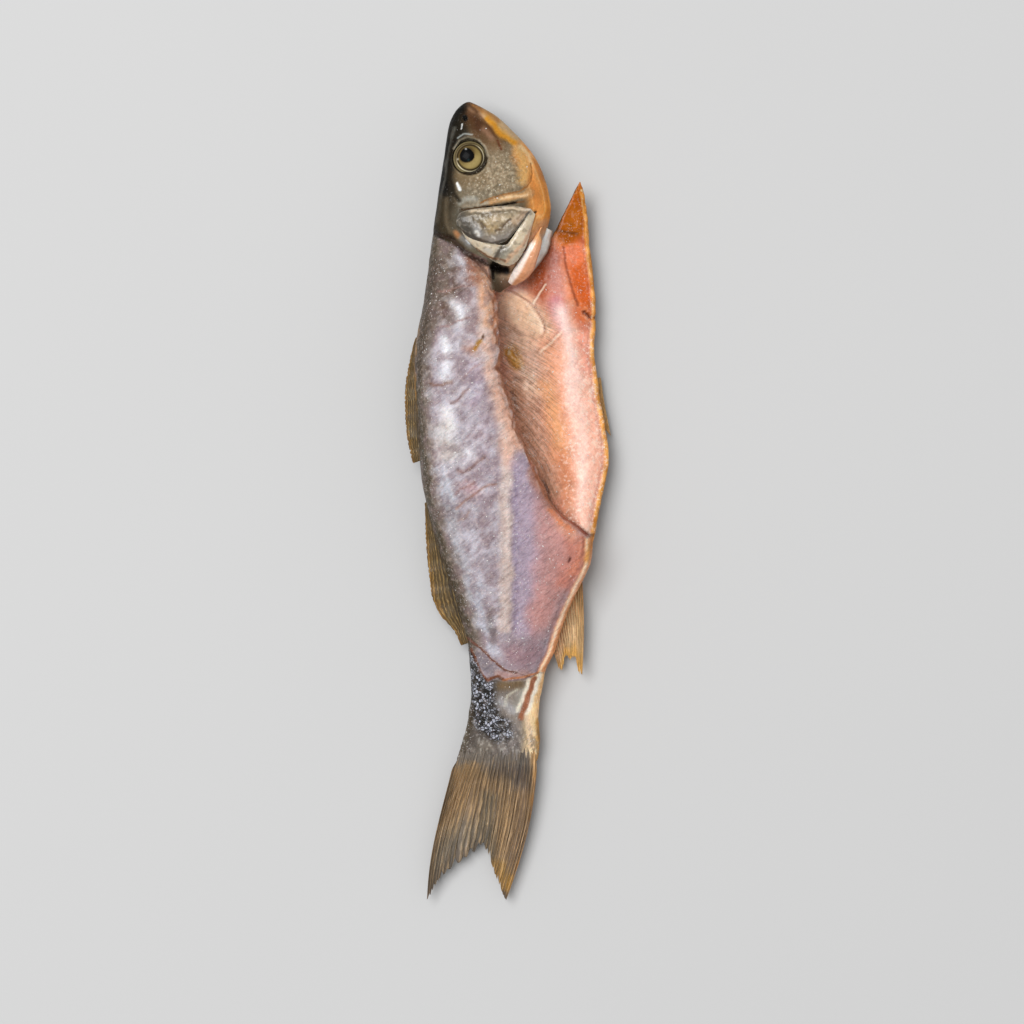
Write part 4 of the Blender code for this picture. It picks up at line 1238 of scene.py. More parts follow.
    def paint_stalk(self) -> None:
        """Paints the tail stalk's skin and the pale patch of flesh and the cut skin ahead of it."""
        s = self.sculpture
        at = s.warped(0.6, 3.0, 61)
        mask = self.stalk * self.up
        s.paint((96, 88, 82), mask)
        s.brush(STALK_STROKES, at, mask)
        x, y, z = s.points.T
        hairs = s.streaks(np.stack([x * 0.75 + 0.3 * (y + 100), y * 0.14, z * 0.1], 1), 65)
        s.paint((206, 200, 190), smooth_step(0.72, 1.0, hairs) * mask * smooth_step(-88, -93, y) * 0.55)
        s.paint((70, 62, 56), smooth_step(0.35, 0.0, hairs) * mask * smooth_step(-88, -93, y) * 0.35)
        s.brush(PATCH_STROKES, s.warped(0.4, 2.5, 63), self.up * (s.points[:, 1] < -50))

    def paint_rims(self) -> None:
        """Paints the golden edge of skin along the belly's rim, and the bright one behind the vent with a
        painted highlight.
        """
        s = self.sculpture
        y = s.points[:, 1]
        around = smooth_step(-0.5, 0.1, s.normals[:, 2])
        wavy = self.from_rim + 0.35 * s.clouds(2.4, 71)
        gold = smooth_step(self.rim_width + 0.5, self.rim_width - 0.4, wavy) * around * self.wall * (y < 124)
        tone = smooth_step(-0.3, 0.4, s.clouds(4.0, 72))[:, None]
        colour = np.array((190, 112, 24)) * (1 - tone) + np.array((236, 156, 58)) * tone
        share = (gold * 0.95)[:, None]
        s.colour = s.colour * (1 - share) + colour / 255 * share
        thin = bell(wavy - 1.5, 0.32) * smooth_step(-0.25, 0.2, s.clouds(8.0, 73))
        s.paint((255, 238, 206), thin * self.wall * self.up * 0.4)
        self.rim_shift = self.vent_shift * self.behind_vent(y)
        fringe = self.vent_rim() + 0.25 * s.clouds(2.6, 74)
        s.paint((244, 162, 108), smooth_step(3.3, 2.3, fringe) * around * 0.95)
        # Painted highlight along the vent rim's ridge.
        s.paint((255, 230, 200), bell(fringe - 1.9, 0.6) * around * 0.85)
        s.paint((176, 92, 60), bell(fringe - 3.3, 0.35) * self.up * 0.35)
        golden = path_distance(s.plan, ((34.6, -12), (32.6, -19), (31.4, -23)))
        s.paint((214, 130, 40), bell(golden, 1.2) * 0.8)

    def lay_patterns(self) -> None:
        """Lays the attributes that steer the finish's fine patterns."""
        s = self.sculpture
        x, y, _ = s.points.T
        upper = self.up
        sway = 0.9 * s.clouds(7.0, 82)
        wall_grain = np.stack([(self.rib_place() + sway) * 1.25, y * 0.12, x * 0.02], 1)
        trunk_grain = np.stack([(y - 0.8 * x) * 0.7, (x + 0.8 * y) * 0.14, x * 0.0], 1)
        roof_grain = np.stack([(x + 0.2 * y) * 1.6, y * 0.12, x * 0.0], 1)
        weight = self.wall[:, None]
        roof = (self.head + self.stalk).clip(0, 1)[:, None]
        flesh_grain = trunk_grain * (1 - roof) + roof_grain * roof
        s.vectors["grain"] = flesh_grain * (1 - weight) + wall_grain * weight
        strip = smooth_step(22, 16, x) * smooth_step(84, 74, y) * (1 - 0.6 * self.lobe(s.plan))
        lengthwise = bell(x - BACK(y) - 3, 4) * self.head
        on_flesh = self.trunk * 0.6 + lengthwise * 0.5 + 0.5 * self.stalk
        s.floats["fibre"] = upper * (self.wall * (0.25 + 0.75 * strip) + on_flesh)
        block = path_distance(s.plan, ((-12, -64), (-10, -78), (-8, -88), (-3, -91)))
        block = smooth_step(6.8, 3.6, np.abs(block))
        block *= 0.62 + 0.38 * smooth_step(-0.4, 0.1, s.clouds(3.0, 81))
        flank = smooth_step(0.0, -0.6, s.normals[:, 2]) * 0.35
        s.floats["scaly"] = np.maximum(block * self.stalk * upper, flank)
        s.floats["wet"] = upper * (self.trunk * 0.6 + self.wall * 0.6 + self.head * 0.1 + self.stalk * 0.5)
        pale = smooth_step(19, 25, x) * smooth_step(78, 60, y) * self.wall
        back = self.trunk * smooth_step(10, 2, x)
        s.floats["flecked"] = upper * (pale * 0.9 + self.wall * 0.25 + back * 0.25)


# --- Eyes and gills ---------------------------------------------------------------------------------------


@dataclass
class Eye:
    """An eye: a flattened ball whose rings are painted round its middle and whose pupil sits off it."""

    node: str
    side: Side
    pupil_shift: Place = (-1.2, 0.8)
    pupil: float = 2.8
    iris: float = 4.7
    ring: float = 6.0

    def build(self) -> bpy.types.Object:
        """Shapes and paints the eye, and returns it."""
        low, high = (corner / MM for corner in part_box(self.node))
        centre, half = (low + high) / 2, (high - low) / 2
        bm = bmesh.new()
        bmesh.ops.create_uvsphere(bm, u_segments=96, v_segments=64, radius=1.0)
        bmesh.ops.scale(bm, vec=half * 1.02, verts=bm.verts)
        centre += Vector((0.1, TOWARDS_TAIL, 0))
        bmesh.ops.translate(bm, vec=centre, verts=bm.verts)
        bmesh.ops.scale(bm, vec=(MM, MM, MM), verts=bm.verts)
        mesh = bpy.data.meshes.new(self.node)
        bm.to_mesh(mesh)
        bm.free()
        s = Sculpture(mesh)
        offset = s.plan - np.array(centre[:2])
        reach = np.hypot(*offset.T)
        angle = np.arctan2(offset[:, 1], offset[:, 0])
        # The rings are the eye's own colours, painted darker on the upper left as painted shade from the
        # socket's rim and lighter on the lower right as painted light.
        lit_lower_right = 0.5 + 0.5 * np.cos(angle + math.radians(50))
        outward = self.side.value * (s.points[:, 2] - centre.z)
        inner = np.hypot(*(offset - np.array(self.pupil_shift)).T)
        bulge = 0.35 * bell(inner, 3.6) - 0.3 * bell(reach - self.ring, 0.35)
        s.push(bulge * smooth_step(0, 1, outward))
        s.paint((128, 116, 80))
        s.paint((62, 50, 30), smooth_step(6.7, 5.9, reach) * smooth_step(0.75, 0.2, lit_lower_right) * 0.9)
        s.paint((104, 90, 56), smooth_step(5.8, 6.2, reach) * lit_lower_right * 0.9)
        s.paint((176, 164, 128), bell(reach - 6.35, 0.16) * lit_lower_right * 0.9)
        s.paint((44, 34, 18), smooth_step(5.6, 5.2, reach))
        s.paint((252, 240, 204), bell(reach - 5.5, 0.32) * smooth_step(0.12, 0.5, lit_lower_right))
        s.paint((196, 176, 128), bell(reach - 5.5, 0.2) * smooth_step(0.5, 0.2, lit_lower_right) * 0.5)
        s.paint((124, 106, 62), smooth_step(self.iris + 0.2, self.iris - 0.5, reach))
        iris = smooth_step(self.iris, self.iris - 0.8, reach)
        s.paint((164, 144, 92), iris * smooth_step(0.4, 0.9, lit_lower_right) * 0.9)
        s.paint((84, 70, 40), iris * smooth_step(0.45, 0.1, lit_lower_right) * 0.7)
        s.paint((78, 62, 34), bell(inner - self.pupil - 0.1, 0.5) * 0.8)
        s.paint((180, 158, 104), bell(inner - 3.2, 0.24) * smooth_step(0.3, 0.8, lit_lower_right) * 0.7)
        notch = inner - 0.16 * np.cos(3 * np.arctan2(offset[:, 1] - 0.8, offset[:, 0] + 1.2) + 1)
        s.paint((4, 4, 5), smooth_step(self.pupil + 0.12, self.pupil - 0.12, notch))
        # Painted highlights at the top of the pupil and on the iris's left, and a painted teal reflection low
        # in the pupil.
        highlights_and_reflection = (((236, 234, 224), (-1.6, 3.3), 0.38, 0.9), ((226, 222, 206), (-4.8, -0.6), 0.4, 0.8),
                  ((30, 62, 62), (-0.6, -1.0), 0.5, 0.7))
        for colour, spot, size, strength in highlights_and_reflection:
            s.paint(colour, bell(np.hypot(*(offset - np.array(spot)).T), size) * strength)
        return s.finish(self.node + "_ball", EyeFinish().material(), self.node, Slot.EYE)


@dataclass(frozen=True)
class Plate:
    """One plate of the gill cover: its solid, its paint and creases, and how far it is drawn out."""

    node: str
    base: Rgb
    strokes: tuple[Stroke, ...]
    creases: tuple[Crease, ...]
    lumps: float
    stretch: float
    widen: float


MAIN_PLATE = Plate(
    "gill_plate",
    (116, 100, 76),
    (
        Stroke((56, 50, 40), 4.4, ((-18.4, 113), (-15.6, 108)), 0.95),
        Stroke((156, 154, 154), 1.7, ((-12.6, 109.6), (-11, 106.4)), 0.8),
        Stroke((176, 148, 102), 2.4, ((-8.6, 112), (-6, 109.6)), 0.8),
        Stroke((104, 90, 68), 3.0, ((-14, 115.4), (-6, 115.6), (2, 116)), 0.9),
        Stroke((190, 168, 134), 1.9, ((-6, 113), (-1, 113.4), (3, 114)), 0.8),
        Stroke((154, 146, 138), 2.4, ((-7, 104.8), (-2, 105), (0.6, 107)), 0.9),
        Stroke((196, 164, 136), 1.6, ((3, 112), (8, 116.4)), 0.7),
        # Painted highlight on a lump of the plate.
        Stroke((236, 232, 224), 0.7, ((-12.6, 108), (-11.8, 107)), 0.9),
        Stroke((238, 232, 220), 0.5, ((-6.4, 106), (-5.4, 105.6)), 0.8),
        Stroke((228, 206, 178), 0.5, ((-15, 116.2), (-6, 117), (2, 117.6), (9, 116.8)), 0.8),
        Stroke((96, 78, 58), 0.5, ((-10.6, 111.4), (-9.6, 110)), 0.7),
        Stroke((112, 86, 58), 0.4, ((-4.6, 108.4), (-2.6, 108.8), (-1.4, 110.8), (1, 113)), 0.7),
        Stroke((62, 54, 44), 0.6, ((-17.2, 110.6), (-13.2, 105.4), (-6.6, 103.3), (0.4, 105), (8.8, 115.9)),
               0.85, 0.6),
    ),
    (
        Crease(0.8, 0.5, ((-10.6, 111.4), (-9.6, 110))),
        Crease(0.8, 0.5, ((-4.6, 108.4), (-2.6, 108.8), (-1.4, 110.8), (1, 113))),
        Crease(1.4, -0.4, ((-13.4, 110), (-11.4, 106.6))),
    ),
    lumps=0.5,
    stretch=0.34,
    widen=0.0,
)
LOWER_PLATE = Plate(
    "gill_plate_lower",
    (196, 180, 154),
    (
        Stroke((206, 188, 158), 2.3, ((11, 114.6), (6.4, 108), (2.6, 103)), 0.8),
        Stroke((98, 96, 86), 2.0, ((-1, 101), (-3, 98.6)), 0.75),
        Stroke((72, 64, 52), 1.0, ((-2.4, 102), (-4.6, 98), (-5.6, 96.6)), 0.8),
        Stroke((176, 172, 164), 0.9, ((-8.8, 101), (-7, 100.2)), 0.7),
        Stroke((206, 164, 130), 0.8, ((11.8, 113.4), (5.6, 102.6), (-0.6, 96.6)), 0.9, 0.7),
        Stroke((112, 76, 50), 0.5, ((-12.4, 101.4), (-8.2, 98), (-1.4, 96.6)), 0.85, 0.6),
    ),
    (Crease(0.8, 0.5, ((-2.4, 102), (-4.6, 98), (-5.6, 96.6))),),
    lumps=0.3,
    stretch=0.1,
    widen=0.62,
)


@dataclass
class GillCover:
    """The gill cover's two plates and the rolled fold of membrane beside them."""

    plates: tuple[Plate, ...] = (MAIN_PLATE, LOWER_PLATE)
    voxel: float = 0.26
    smoothing: int = 3
    fold_line: Line = ((13.6, 108.6), (2.2, 88.4))

    def build(self) -> list[bpy.types.Object]:
        """Shapes and paints the plates and the fold, and returns them."""
        return [self.plate(p) for p in self.plates] + [self.fold(), self.strip()]

    def plate(self, plan: Plate) -> bpy.types.Object:
        """Returns one finished plate."""
        s = Sculpture(copy_of_node(plan.node, self.voxel, self.smoothing))
        s.points += plan.stretch * np.maximum(-8 - s.points[:, :1], 0) * np.array((-1, 0, -0.45))
        s.points[:, 1] += TOWARDS_TAIL
        across = np.array((-0.66, 0.75))
        offset = (s.plan - s.plan.mean(0)) @ across
        s.points[:, :2] += (plan.widen * (offset + 1.2))[:, None] * across
        s.measure()
        upper = smooth_step(0.1, 0.6, s.normals[:, 2])
        low, high = (np.array(corner[:2]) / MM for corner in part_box(plan.node))
        inward = 1 - np.clip(np.hypot(*((s.plan - (low + high) / 2) / ((high - low) / 2)).T), 0, 1)
        height = plan.lumps * (0.7 * s.clouds(2.6, 91) + 0.3 * s.clouds(1.2, 92))
        s.push((height * smooth_step(0, 0.35, inward) + s.relief(plan.creases, s.seen)) * upper)
        at = s.warped(0.5, 2.2, 93)
        s.paint(plan.base)
        s.brush(plan.strokes, at)
        s.paint((206, 198, 184), smooth_step(0.15, 0.6, s.clouds(1.4, 94)) * 0.3)
        s.paint((84, 72, 58), smooth_step(-0.15, -0.6, s.clouds(1.7, 95)) * 0.35)
        # Painted highlights on the crests, painted shade in the hollows and on the faces that turn down.
        crest = s.raised(4)
        s.paint((250, 244, 232), smooth_step(0.3, 1.0, crest) * 0.34)
        s.paint((70, 56, 42), smooth_step(-0.2, -1.0, crest) * 0.4)
        s.paint((64, 54, 42), smooth_step(0.3, -0.2, s.normals[:, 2]))
        return s.finish(plan.node + "_bone", BoneFinish().material(), plan.node, Slot.GILL)

    def fold(self) -> bpy.types.Object:
        """Returns the pale rolled fold, flattened and bent over the throat."""
        s = Sculpture(copy_of_node("gill_membrane", self.voxel, self.smoothing))
        start, end = np.array(self.fold_line[0]), np.array(self.fold_line[1])
        run = (end - start) / np.hypot(*(end - start))
        left = np.array((run[1], -run[0]))
        along = (s.plan - start) @ run
        across = (s.plan - start) @ left
        wider = Profile((-3, 0.25), (2, 0.4), (5, 0.85), (12, 1.2), (20, 1.55), (26, 1.2))(along)
        shift = Profile((0, 1.0), (12, 1.7), (23, 2.4))(along)
        s.points[:, :2] += (across * (wider - 1) + shift)[:, None] * left
        s.measure()
        s.points[:, 2] -= 1.6 * smooth_step(9, 0, along)
        s.push(0.25 * s.clouds(3.0, 96) + 0.1 * s.clouds(1.2, 97))
        s.paint((255, 236, 224))
        # Painted highlight along the middle of the roll.
        s.paint((255, 250, 244), bell(across - 0.2, 1.0) * 0.9)
        s.paint((220, 154, 112), smooth_step(1.5, 2.5, across) * 0.8)
        s.paint((206, 130, 80), smooth_step(-1.6, -2.6, across) * 0.8)
        s.paint((224, 160, 100), smooth_step(8.5, 3.5, along) * 0.95)
        s.paint((150, 138, 130), smooth_step(93, 88, s.points[:, 1]) * smooth_step(0, 1.6, across) * 0.8)
        # Painted shade on the faces that turn down.
        s.paint((120, 96, 80), smooth_step(0.2, -0.3, s.normals[:, 2]))
        skin = BoneFinish("gill_membrane_skin", 0.7, 0.25).material()
        return s.finish("gill_membrane_fold", skin, "gill_membrane", Slot.MEMBRANE)

    def strip(self) -> bpy.types.Object:
        """Returns the thin grey strip of membrane that lies beside the fold."""

        def place(along: Array, out: Array, face: int) -> Array:
            """Returns the points of the strip's upper or lower face."""
            y = 109.4 - 20.6 * along
            left = Profile((109.4, 14.6), (102, 11.8), (95.4, 7.8), (88.8, 3.4))(y)
            width = Profile((109.4, 3.2), (103, 4.2), (95, 4.0), (88.8, 1.2))(y)
            ripple = 0.35 * np.sin(along * 15 + 2 * out) + 0.25 * np.sin(along * 34)
            z = 19.6 - 4.2 * out**1.5 + ripple * out + face * 0.45 * (1 - 0.7 * out)
            return np.stack([left + width * out + 0.25 * ripple * out, y - 1.4 * out, z], 1)

        mesh, shares = sheet_pair(90, 18, place)
        s = Sculpture(mesh)
        along, out = shares.T
        s.paint((222, 216, 208))
        # Painted highlight along the strip.
        s.paint((250, 248, 244), bell(out - 0.45, 0.16) * 0.7)
        s.paint((214, 150, 104), smooth_step(0.2, 0.05, out) * 0.8)
        s.paint((104, 84, 66), smooth_step(0.78, 0.98, out) * 0.75)
        s.paint((120, 108, 94), smooth_step(0.7, 1.0, along) * 0.7)
        skin = BoneFinish("gill_strip_skin", 0.6, 0.5).material()
        return s.finish("gill_membrane_strip", skin, "gill_membrane", Slot.MEMBRANE)


# --- Fins -------------------------------------------------------------------------------------------------


@dataclass
class Fin:
    """One fin: a thin blade of rays whose outline, height and colours its own sub-class gives."""

    node: str
    finish: FinFinish
    columns: int
    rows: int
    thickness: float
    slot: Slot = Slot.FIN
    taper: float = 0.72
    ray_relief: float = 0.22

    def outline(self, along: Array, out: Array) -> Array:
        """Returns the blade's middle surface in millimetres."""
        raise NotImplementedError

    def colour(self, s: Sculpture, along: Array, out: Array) -> None:
        """Paints the blade."""
        raise NotImplementedError

    def ray_place(self, along: Array, out: Array) -> tuple[Array, Array]:
        """Returns how far across the rays and how far along a ray each point lies."""
        return along, out

    def place(self, along: Array, out: Array, face: int) -> Array:
        """Returns the points of the blade's upper or lower face."""
        points = self.outline(along, out)
        half = self.thickness / 2 * (1 - self.taper * out)
        ridge = np.cos(math.tau * self.finish.rays * self.ray_place(along, out)[0])
        half = half * (1 - self.ray_relief + self.ray_relief * ridge)
        points[:, 2] += face * half
        return points

    def build(self) -> bpy.types.Object:
        """Shapes and paints the fin, and returns it."""
        mesh, shares = sheet_pair(self.columns, self.rows, self.place)
        s = Sculpture(mesh)
        along, out = shares.T
        s.floats["shown"] = np.ones(len(along))
        self.colour(s, along, out)
        s.vectors["rays"] = np.stack([*self.ray_place(along, out), 0 * out], 1)
        return s.finish(self.node + "_rays", self.finish.material(), self.node, self.slot)


def ragged(along: Array, teeth: float, depth: float, seed: int) -> Array:
    """Returns how far torn tips fall short along a fin: pointed teeth of uneven depth."""
    turn = along * teeth
    tooth = np.abs((turn % 1.0) - 0.35) * 1.5
    uneven = np.array([noise.noise(Vector((t * 1.7, seed * 3.7, 0.0))) for t in np.atleast_1d(turn)])
    return depth * (tooth * (0.65 + 0.7 * uneven) + 0.35 * uneven)


@dataclass
class TailFin(Fin):
    """The forked tail fin."""

    root_y: float = -97.0
    body: bpy.types.Object | None = None

    def outline(self, along: Array, out: Array) -> Array:
        """Returns the fan between the stalk's end and the two tips."""
        tip_x = Profile((0, -32.6), (0.25, -26), (0.5, -10.4), (0.75, -5), (1, -0.8))(along)
        tip_y = Profile((0, -160), (0.12, -155.5), (0.3, -147.5), (0.44, -140.6), (0.5, -138.2), (0.56, -141),
                        (0.75, -150.5), (0.92, -157.5), (1, -160))(along)
        short = ragged(along, 21, 3.4, 2) * np.sin(math.pi * np.clip(along, 0, 1)) ** 0.4
        tip_y = tip_y + np.abs(short)
        bulge = Profile((0, -1.8), (0.5, 0), (1, 3))(along)
        start_x = -20.2 + 32.4 * along
        x = start_x + (tip_x - start_x) * out + bulge * np.sin(math.pi * out ** (1.6 - 0.6 * along))
        y = self.root_y + (tip_y - self.root_y) * out
        inside = smooth_step(-108.0, -103.5, y)
        left = BACK(y) + 0.3 - 0.31 * np.maximum(-103 - y, 0)
        x += (np.clip(x, left, CUT_EDGE(y) - 0.5) - x) * inside
        z = 7.3 - 1.8 * out + 0.6 * np.sin(2 * math.pi * along) * out
        return np.stack([x, y, z], 1)

    def place(self, along: Array, out: Array, face: int) -> Array:
        """Lets the root of the upper face lie on the tail stalk."""
        points = super().place(along, out, face)
        if face < 0:
            return points
        tree = BVHTree.FromObject(self.body, bpy.context.evaluated_depsgraph_get())
        for index in np.flatnonzero(points[:, 1] > -112):
            point = points[index]
            at = max(point[1], -103.4)
            hit = tree.ray_cast(Vector((point[0] * MM, at * MM, 0.1)), Vector((0, 0, -1)))[0]
            if hit:
                torn = 4.5 * noise.noise(Vector((point[0] * 1.3, 2.0, 5.0)))
                torn += 2.4 * noise.noise(Vector((point[0] * 0.25, 0, 1)))
                lift = float(np.interp(point[1] + torn, (-104, -101, -97.5), (0.25, 0.05, -0.6)))
                share = float(smooth_step(-112.0, -103.0, point[1]))
                point[2] += (hit.z / MM + lift - point[2]) * share
        return points

    def colour(self, s: Sculpture, along: Array, out: Array) -> None:
        """Paints brown rays, greyer towards the left tip, with a golden right edge and a dark root."""
        at = s.warped(1.2, 5.0, 101)
        s.paint((148, 118, 82))
        s.brush(
            (
                Stroke((186, 146, 96), 6.0, ((-19, -108), (-22, -124), (-24, -132)), 0.9),
                Stroke((118, 110, 96), 7.0, ((-16, -134), (-26, -140), (-31, -156)), 0.9),
                Stroke((96, 88, 78), 2.6, ((-22, -146), (-14, -140)), 0.7),
                Stroke((94, 88, 86), 4.4, ((-4, -105), (2, -108), (8, -106)), 0.85),
                Stroke((84, 76, 76), 2.4, ((4, -108), (6, -114)), 0.8),
                Stroke((96, 88, 70), 2.4, ((-8, -118), (-9, -132), (-7, -140)), 0.8),
                Stroke((206, 166, 116), 1.6, ((0, -122), (-2, -136), (-3, -146)), 0.85),
                Stroke((148, 116, 84), 3.2, ((6, -118), (4, -134), (2, -146)), 0.8),
                Stroke((176, 116, 40), 1.3, ((12.4, -103), (11, -118), (9.4, -132), (5, -147), (1.2, -156)),
                       0.95, 0.8),
                Stroke((166, 118, 20), 3.2, ((-5, -147), (-1.6, -152), (0, -156)), 0.95),
                Stroke((216, 156, 40), 1.0, ((1.6, -150), (0.6, -155)), 0.8),
                Stroke((58, 44, 28), 1.2, ((-1.4, -157), (-1.2, -160)), 0.9),
                Stroke((96, 72, 40), 1.2, ((-20.6, -103), (-24.4, -118), (-28.6, -134), (-32, -152)), 0.8),
                Stroke((92, 66, 64), 1.4, ((-32, -156), (-32.6, -160)), 0.7),
            ),
            at,
        )
        torn = s.points[:, 1] + 3.0 * s.clouds(1.6, 103) + 3.0 * s.clouds(6.0, 104)
        s.paint((116, 107, 98), smooth_step(-108.5, -102.5, torn) * 0.9)
        s.paint((214, 164, 104), smooth_step(7.5, 10.5, s.points[:, 0]) * smooth_step(-116, -104, torn) * 0.9)
        s.floats["shown"] = smooth_step(-100.5, -109.0, torn) * 0.9 + 0.1
        s.paint((84, 74, 62), ((along < 0.5) & (out > 0.9)) * 0.5)


@dataclass
class BackFin(Fin):
    """A folded back fin that lies along the back's edge."""

    first_y: float = 67.0
    last_y: float = 17.0
    edge: Profile = field(default_factory=lambda: BACK)
    drop: float = 1.5

    def outline(self, along: Array, out: Array) -> Array:
        """Returns the strip between the back and the fin's outer edge."""
        y = self.first_y + (self.last_y - self.first_y) * along
        root = BACK(y) + 1.6
        tip = np.minimum(self.edge(y), BACK(y) - 0.5) + np.abs(ragged(along, 30, 0.5, 5))
        wave = 0.25 * np.sin(along * 41) * out
        height = MID_HEIGHT(y) - self.drop * out + wave
        return np.stack([root + (tip - root) * out, y - self.drop * out, height], 1)

    def ray_place(self, along: Array, out: Array) -> tuple[Array, Array]:
        """Returns places for rays that are folded back along the fin."""
        return 0.55 * out - 0.35 * along, along * 4

    def colour(self, s: Sculpture, along: Array, out: Array) -> None:
        """Paints olive rays with a golden outer edge, and painted shade where the fin meets the body."""
        s.paint((114, 90, 50))
        s.paint((176, 124, 42), smooth_step(0.7, 0.95, out) * 0.75)
        # Painted shade where the fin meets the body.
        s.paint((56, 47, 32), smooth_step(0.42, 0.24, out) * 0.85)
        s.paint((150, 136, 106), smooth_step(0.1, 0.5, s.clouds(3.0, 111)) * 0.35)


@dataclass
class PelvicFin(Fin):
    """The narrow fin beside the rim."""

    def outline(self, along: Array, out: Array) -> Array:
        """Returns a narrow strip that leaves the rim towards its tip."""
        y = 50 - 20 * along
        root = RIM(y) - 0.6
        tip = RIM(y) + 1.45 + 0.9 * along
        return np.stack([root + (tip - root) * out, y - 3.4 * along * out, 6.4 - 2.0 * out], 1)

    def ray_place(self, along: Array, out: Array) -> tuple[Array, Array]:
        """Returns places for rays that are folded back along the fin."""
        return 0.25 * out - 0.1 * along, along * 3

    def colour(self, s: Sculpture, along: Array, out: Array) -> None:
        """Paints it gold with a dark root."""
        s.paint((214, 152, 60))
        s.paint((92, 62, 30), smooth_step(0.5, 0.2, out) * 0.7)
        s.paint((240, 190, 104), smooth_step(0.75, 0.95, out) * 0.7)


@dataclass
class AnalFin(Fin):
    """The ragged fin behind the vent."""

    def outline(self, along: Array, out: Array) -> Array:
        """Returns rays that run towards the tail from a root that slants along the belly."""
        start_y = -55 + 29 * along
        start_x = CUT_EDGE(start_y) - 1.2
        end_x = 20.2 + 9.6 * along
        tips = Profile((0, -67), (0.16, -67.5), (0.3, -62), (0.5, -63.5), (0.7, -62.5), (0.84, -68.5),
                       (1, -69.5))
        tip_y = tips(along) + np.abs(ragged(along, 15, 2.2, 9))
        x = start_x + (end_x - start_x) * out + 0.8 * np.sin(math.pi * out) * along
        return np.stack([x, start_y + (tip_y - start_y) * out, MID_HEIGHT(start_y) - 3 - 2 * out], 1)

    def colour(self, s: Sculpture, along: Array, out: Array) -> None:
        """Paints pink-tan near the body, olive beyond and golden at the torn tips."""
        s.paint((255, 220, 168))
        s.paint((255, 206, 160), smooth_step(0.5, 0.1, along) * 0.8)
        s.paint((176, 142, 88), smooth_step(0.66, 0.95, along) * 0.8)
        s.paint((255, 190, 74), smooth_step(0.7, 0.98, out) * 0.9)
        s.paint((120, 84, 56), smooth_step(0.16, 0.02, out) * 0.6)


FRONT_EDGE = Profile((70, -36.3), (58, -39.4), (46, -41.2), (30, -40.7), (20, -38.9), (13, -36.6))
REAR_EDGE = Profile((4, -33.2), (-10, -33.1), (-20, -32.5), (-29, -31.5), (-37, -30.3), (-44, -27),
                    (-50, -21.8), (-60, -17.2))
TAIL_RAYS = FinFinish("tail_fin_rays", (202, 168, 126), (84, 68, 52), 26, 0.55)
BACK_RAYS = FinFinish("back_fin_rays", (170, 138, 82), (66, 48, 22), 12, 0.5)
BELLY_RAYS = FinFinish("belly_fin_rays", (250, 212, 158), (200, 152, 104), 14, 0.35, 0.8)


# --- Oil and brine ----------------------------------------------------------------------------------------


@dataclass
class Droplets:
    """Beads of oil and brine that lie scattered over the upper side of the flesh."""

    count: int = 420
    smallest: float = 0.1
    largest: float = 0.26

    def build(self, body: bpy.types.Object) -> bpy.types.Object:
        """Scatters the beads on the body.

        Args:
            body: the finished body, which they lie on.

        Returns:
            The beads as one piece.
        """
        tree = BVHTree.FromObject(body, bpy.context.evaluated_depsgraph_get())
        chance = np.random.default_rng(SEED)
        bm = bmesh.new()
        made = 0
        while made < self.count:
            y = chance.uniform(-95, 150)
            right = float(RIM(y)) if y > -13 else float(CUT_EDGE(y))
            right = max(right, float(THROAT(y)) if y > 112 else -99)
            x = chance.uniform(float(BACK(y)) + 2.5, right - 2.0)
            hit, normal, _, _ = tree.ray_cast(Vector((x * MM, y * MM, 0.2)), Vector((0, 0, -1)))
            crowd = noise.noise(Vector((x / 9, y / 9, 3.0))) - (0.8 if y < -66 else 0)
            head = y > 107 - 0.46 * (x + 30)
            if hit is None or normal.z < 0.35 or crowd < chance.uniform(-0.9, 0.5):
                continue
            if head and chance.random() < 0.8:
                continue
            size = self.smallest + (self.largest - self.smallest) * chance.random() ** 2.4
            long = size * chance.uniform(1.0, 2.4)
            bead = bmesh.ops.create_icosphere(bm, subdivisions=1, radius=1.0)["verts"]
            bmesh.ops.scale(bm, vec=(size * MM, long * MM, size * 0.55 * MM), verts=bead)
            spin = Matrix.Rotation(chance.uniform(0, math.tau), 3, "Z")
            bmesh.ops.rotate(bm, matrix=normal.to_track_quat("Z", "Y").to_matrix() @ spin, verts=bead)
            bmesh.ops.translate(bm, vec=hit + normal * size * 0.1 * MM, verts=bead)
            made += 1
        mesh = bpy.data.meshes.new("drops")
        bm.to_mesh(mesh)
        bm.free()
        return add_piece("oil_and_brine_drops", mesh, DropFinish().material(), Slot.FLESH)


# --- Studio -----------------------------------------------------------------------------------------------


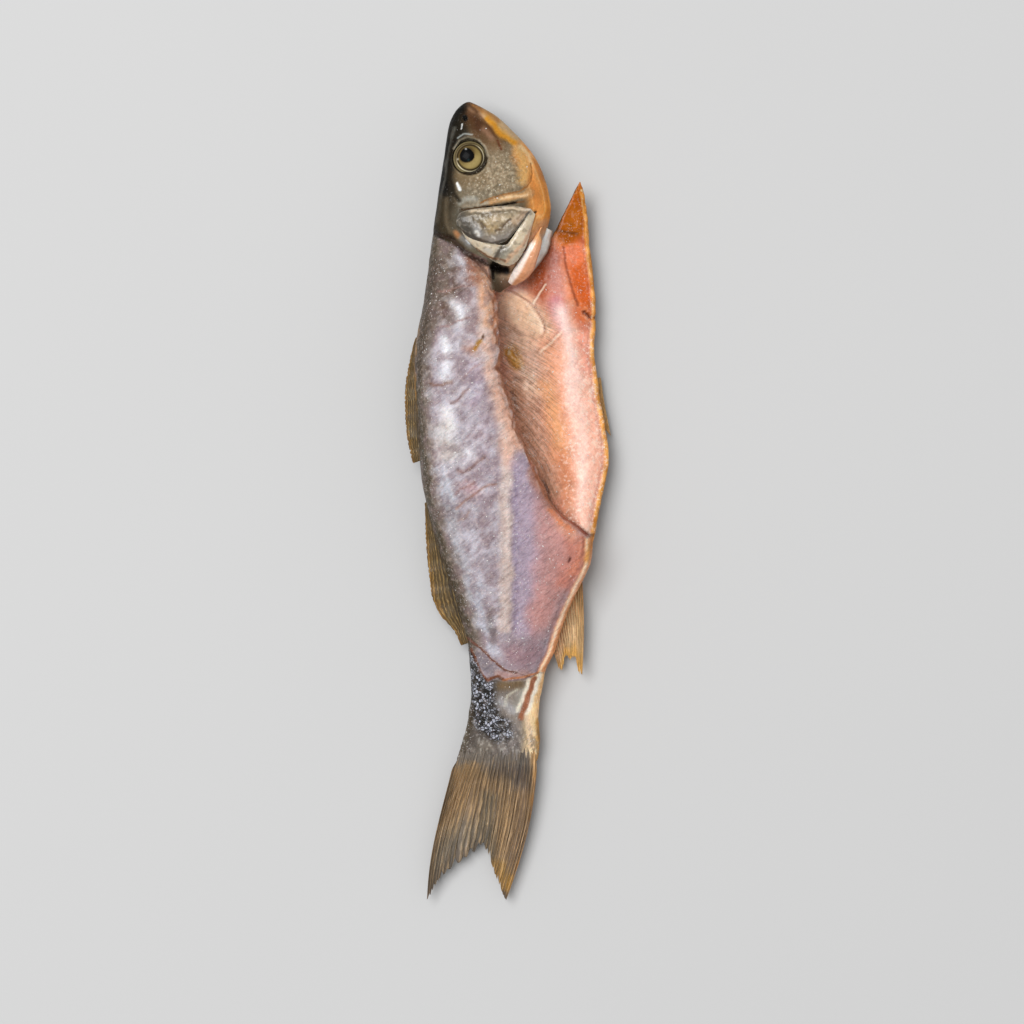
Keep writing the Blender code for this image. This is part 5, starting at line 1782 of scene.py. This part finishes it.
@dataclass
class Studio:
    """A pale floor, a soft key light from the upper left, even light all round and a camera above."""

    distance: float = 1.55
    shown_width: float = 0.4096
    floor_colour: Rgb = (198, 198, 198)

    def build(self) -> None:
        """Makes the floor, the lights, the world and the camera."""
        self.floor()
        self.light("key", (-1.2, 0.8, 3.2), 2.3, 116.0)
        self.world()
        self.camera()
        bpy.context.scene.view_settings.view_transform = "Standard"

    def floor(self) -> None:
        """Makes the floor, which isn't part of the fish."""
        bm = bmesh.new()
        bmesh.ops.create_grid(bm, x_segments=1, y_segments=1, size=3.0)
        mesh = bpy.data.meshes.new("floor")
        bm.to_mesh(mesh)
        bm.free()
        g = Graph("floor_paint")
        grain = g.clouds(3.0, detail=2)
        colour = g.mix(shade(*self.floor_colour), shade(195, 195, 195), grain)
        mesh.materials.append(g.finish({"Base Color": colour}, {"Roughness": 0.9, "Specular IOR Level": 0.1}))
        floor = bpy.data.objects.new("floor", mesh)
        bpy.context.scene.collection.objects.link(floor)

    def light(self, name: str, place: tuple[float, float, float], size: float, power: float) -> None:
        """Makes a square area light that faces the fish."""
        data = bpy.data.lights.new(name, "AREA")
        data.size = size
        data.energy = power
        lamp = bpy.data.objects.new(name, data)
        lamp.location = place
        lamp.rotation_euler = (-Vector(place)).to_track_quat("-Z", "Y").to_euler()
        bpy.context.scene.collection.objects.link(lamp)

    def world(self) -> None:
        """Makes the even light that comes from all round."""
        world = bpy.data.worlds.new("studio")
        world.use_nodes = True
        world.node_tree.nodes["Background"].inputs["Color"].default_value = (1, 1, 1, 1)
        world.node_tree.nodes["Background"].inputs["Strength"].default_value = 0.47
        bpy.context.scene.world = world

    def camera(self) -> None:
        """Makes the camera, whose view is shown_width wide at the fish's height."""
        data = bpy.data.cameras.new("camera")
        data.lens = data.sensor_width * self.distance / self.shown_width
        data.clip_start, data.clip_end = 0.1, 10.0
        camera = bpy.data.objects.new("camera", data)
        camera.location = Vector(CAMERA_PLACE) * MM
        bpy.context.scene.collection.objects.link(camera)
        bpy.context.scene.camera = camera


def main() -> None:
    """Builds every piece in order, and the studio round them."""
    logging.basicConfig(level=logging.INFO, format="%(name)s: %(message)s")
    Studio().build()
    body = Body().build()
    made = [body]
    made.append(Eye("eye", Side.UPPER).build())
    made.append(Eye("eye_far", Side.LOWER).build())
    made += GillCover().build()
    fins = (
        BackFin("back_fin_front", BACK_RAYS, 220, 14, 2.0, edge=FRONT_EDGE),
        BackFin("back_fin_rear", BACK_RAYS, 240, 18, 2.0, first_y=1, last_y=-56, edge=REAR_EDGE),
        PelvicFin("belly_fin_front", BELLY_RAYS, 90, 8, 1.7),
        AnalFin("belly_fin_rear", BELLY_RAYS, 180, 60, 1.7),
        TailFin("tail_fin", TAIL_RAYS, 420, 90, 3.0, slot=Slot.TAIL, body=body),
    )
    made += [fin.build() for fin in fins]
    made.append(Droplets().build(body))
    for piece in made:
        LOG.info("%s: %d faces", piece.name, len(piece.data.polygons))


if __name__ == "__main__":
    main()
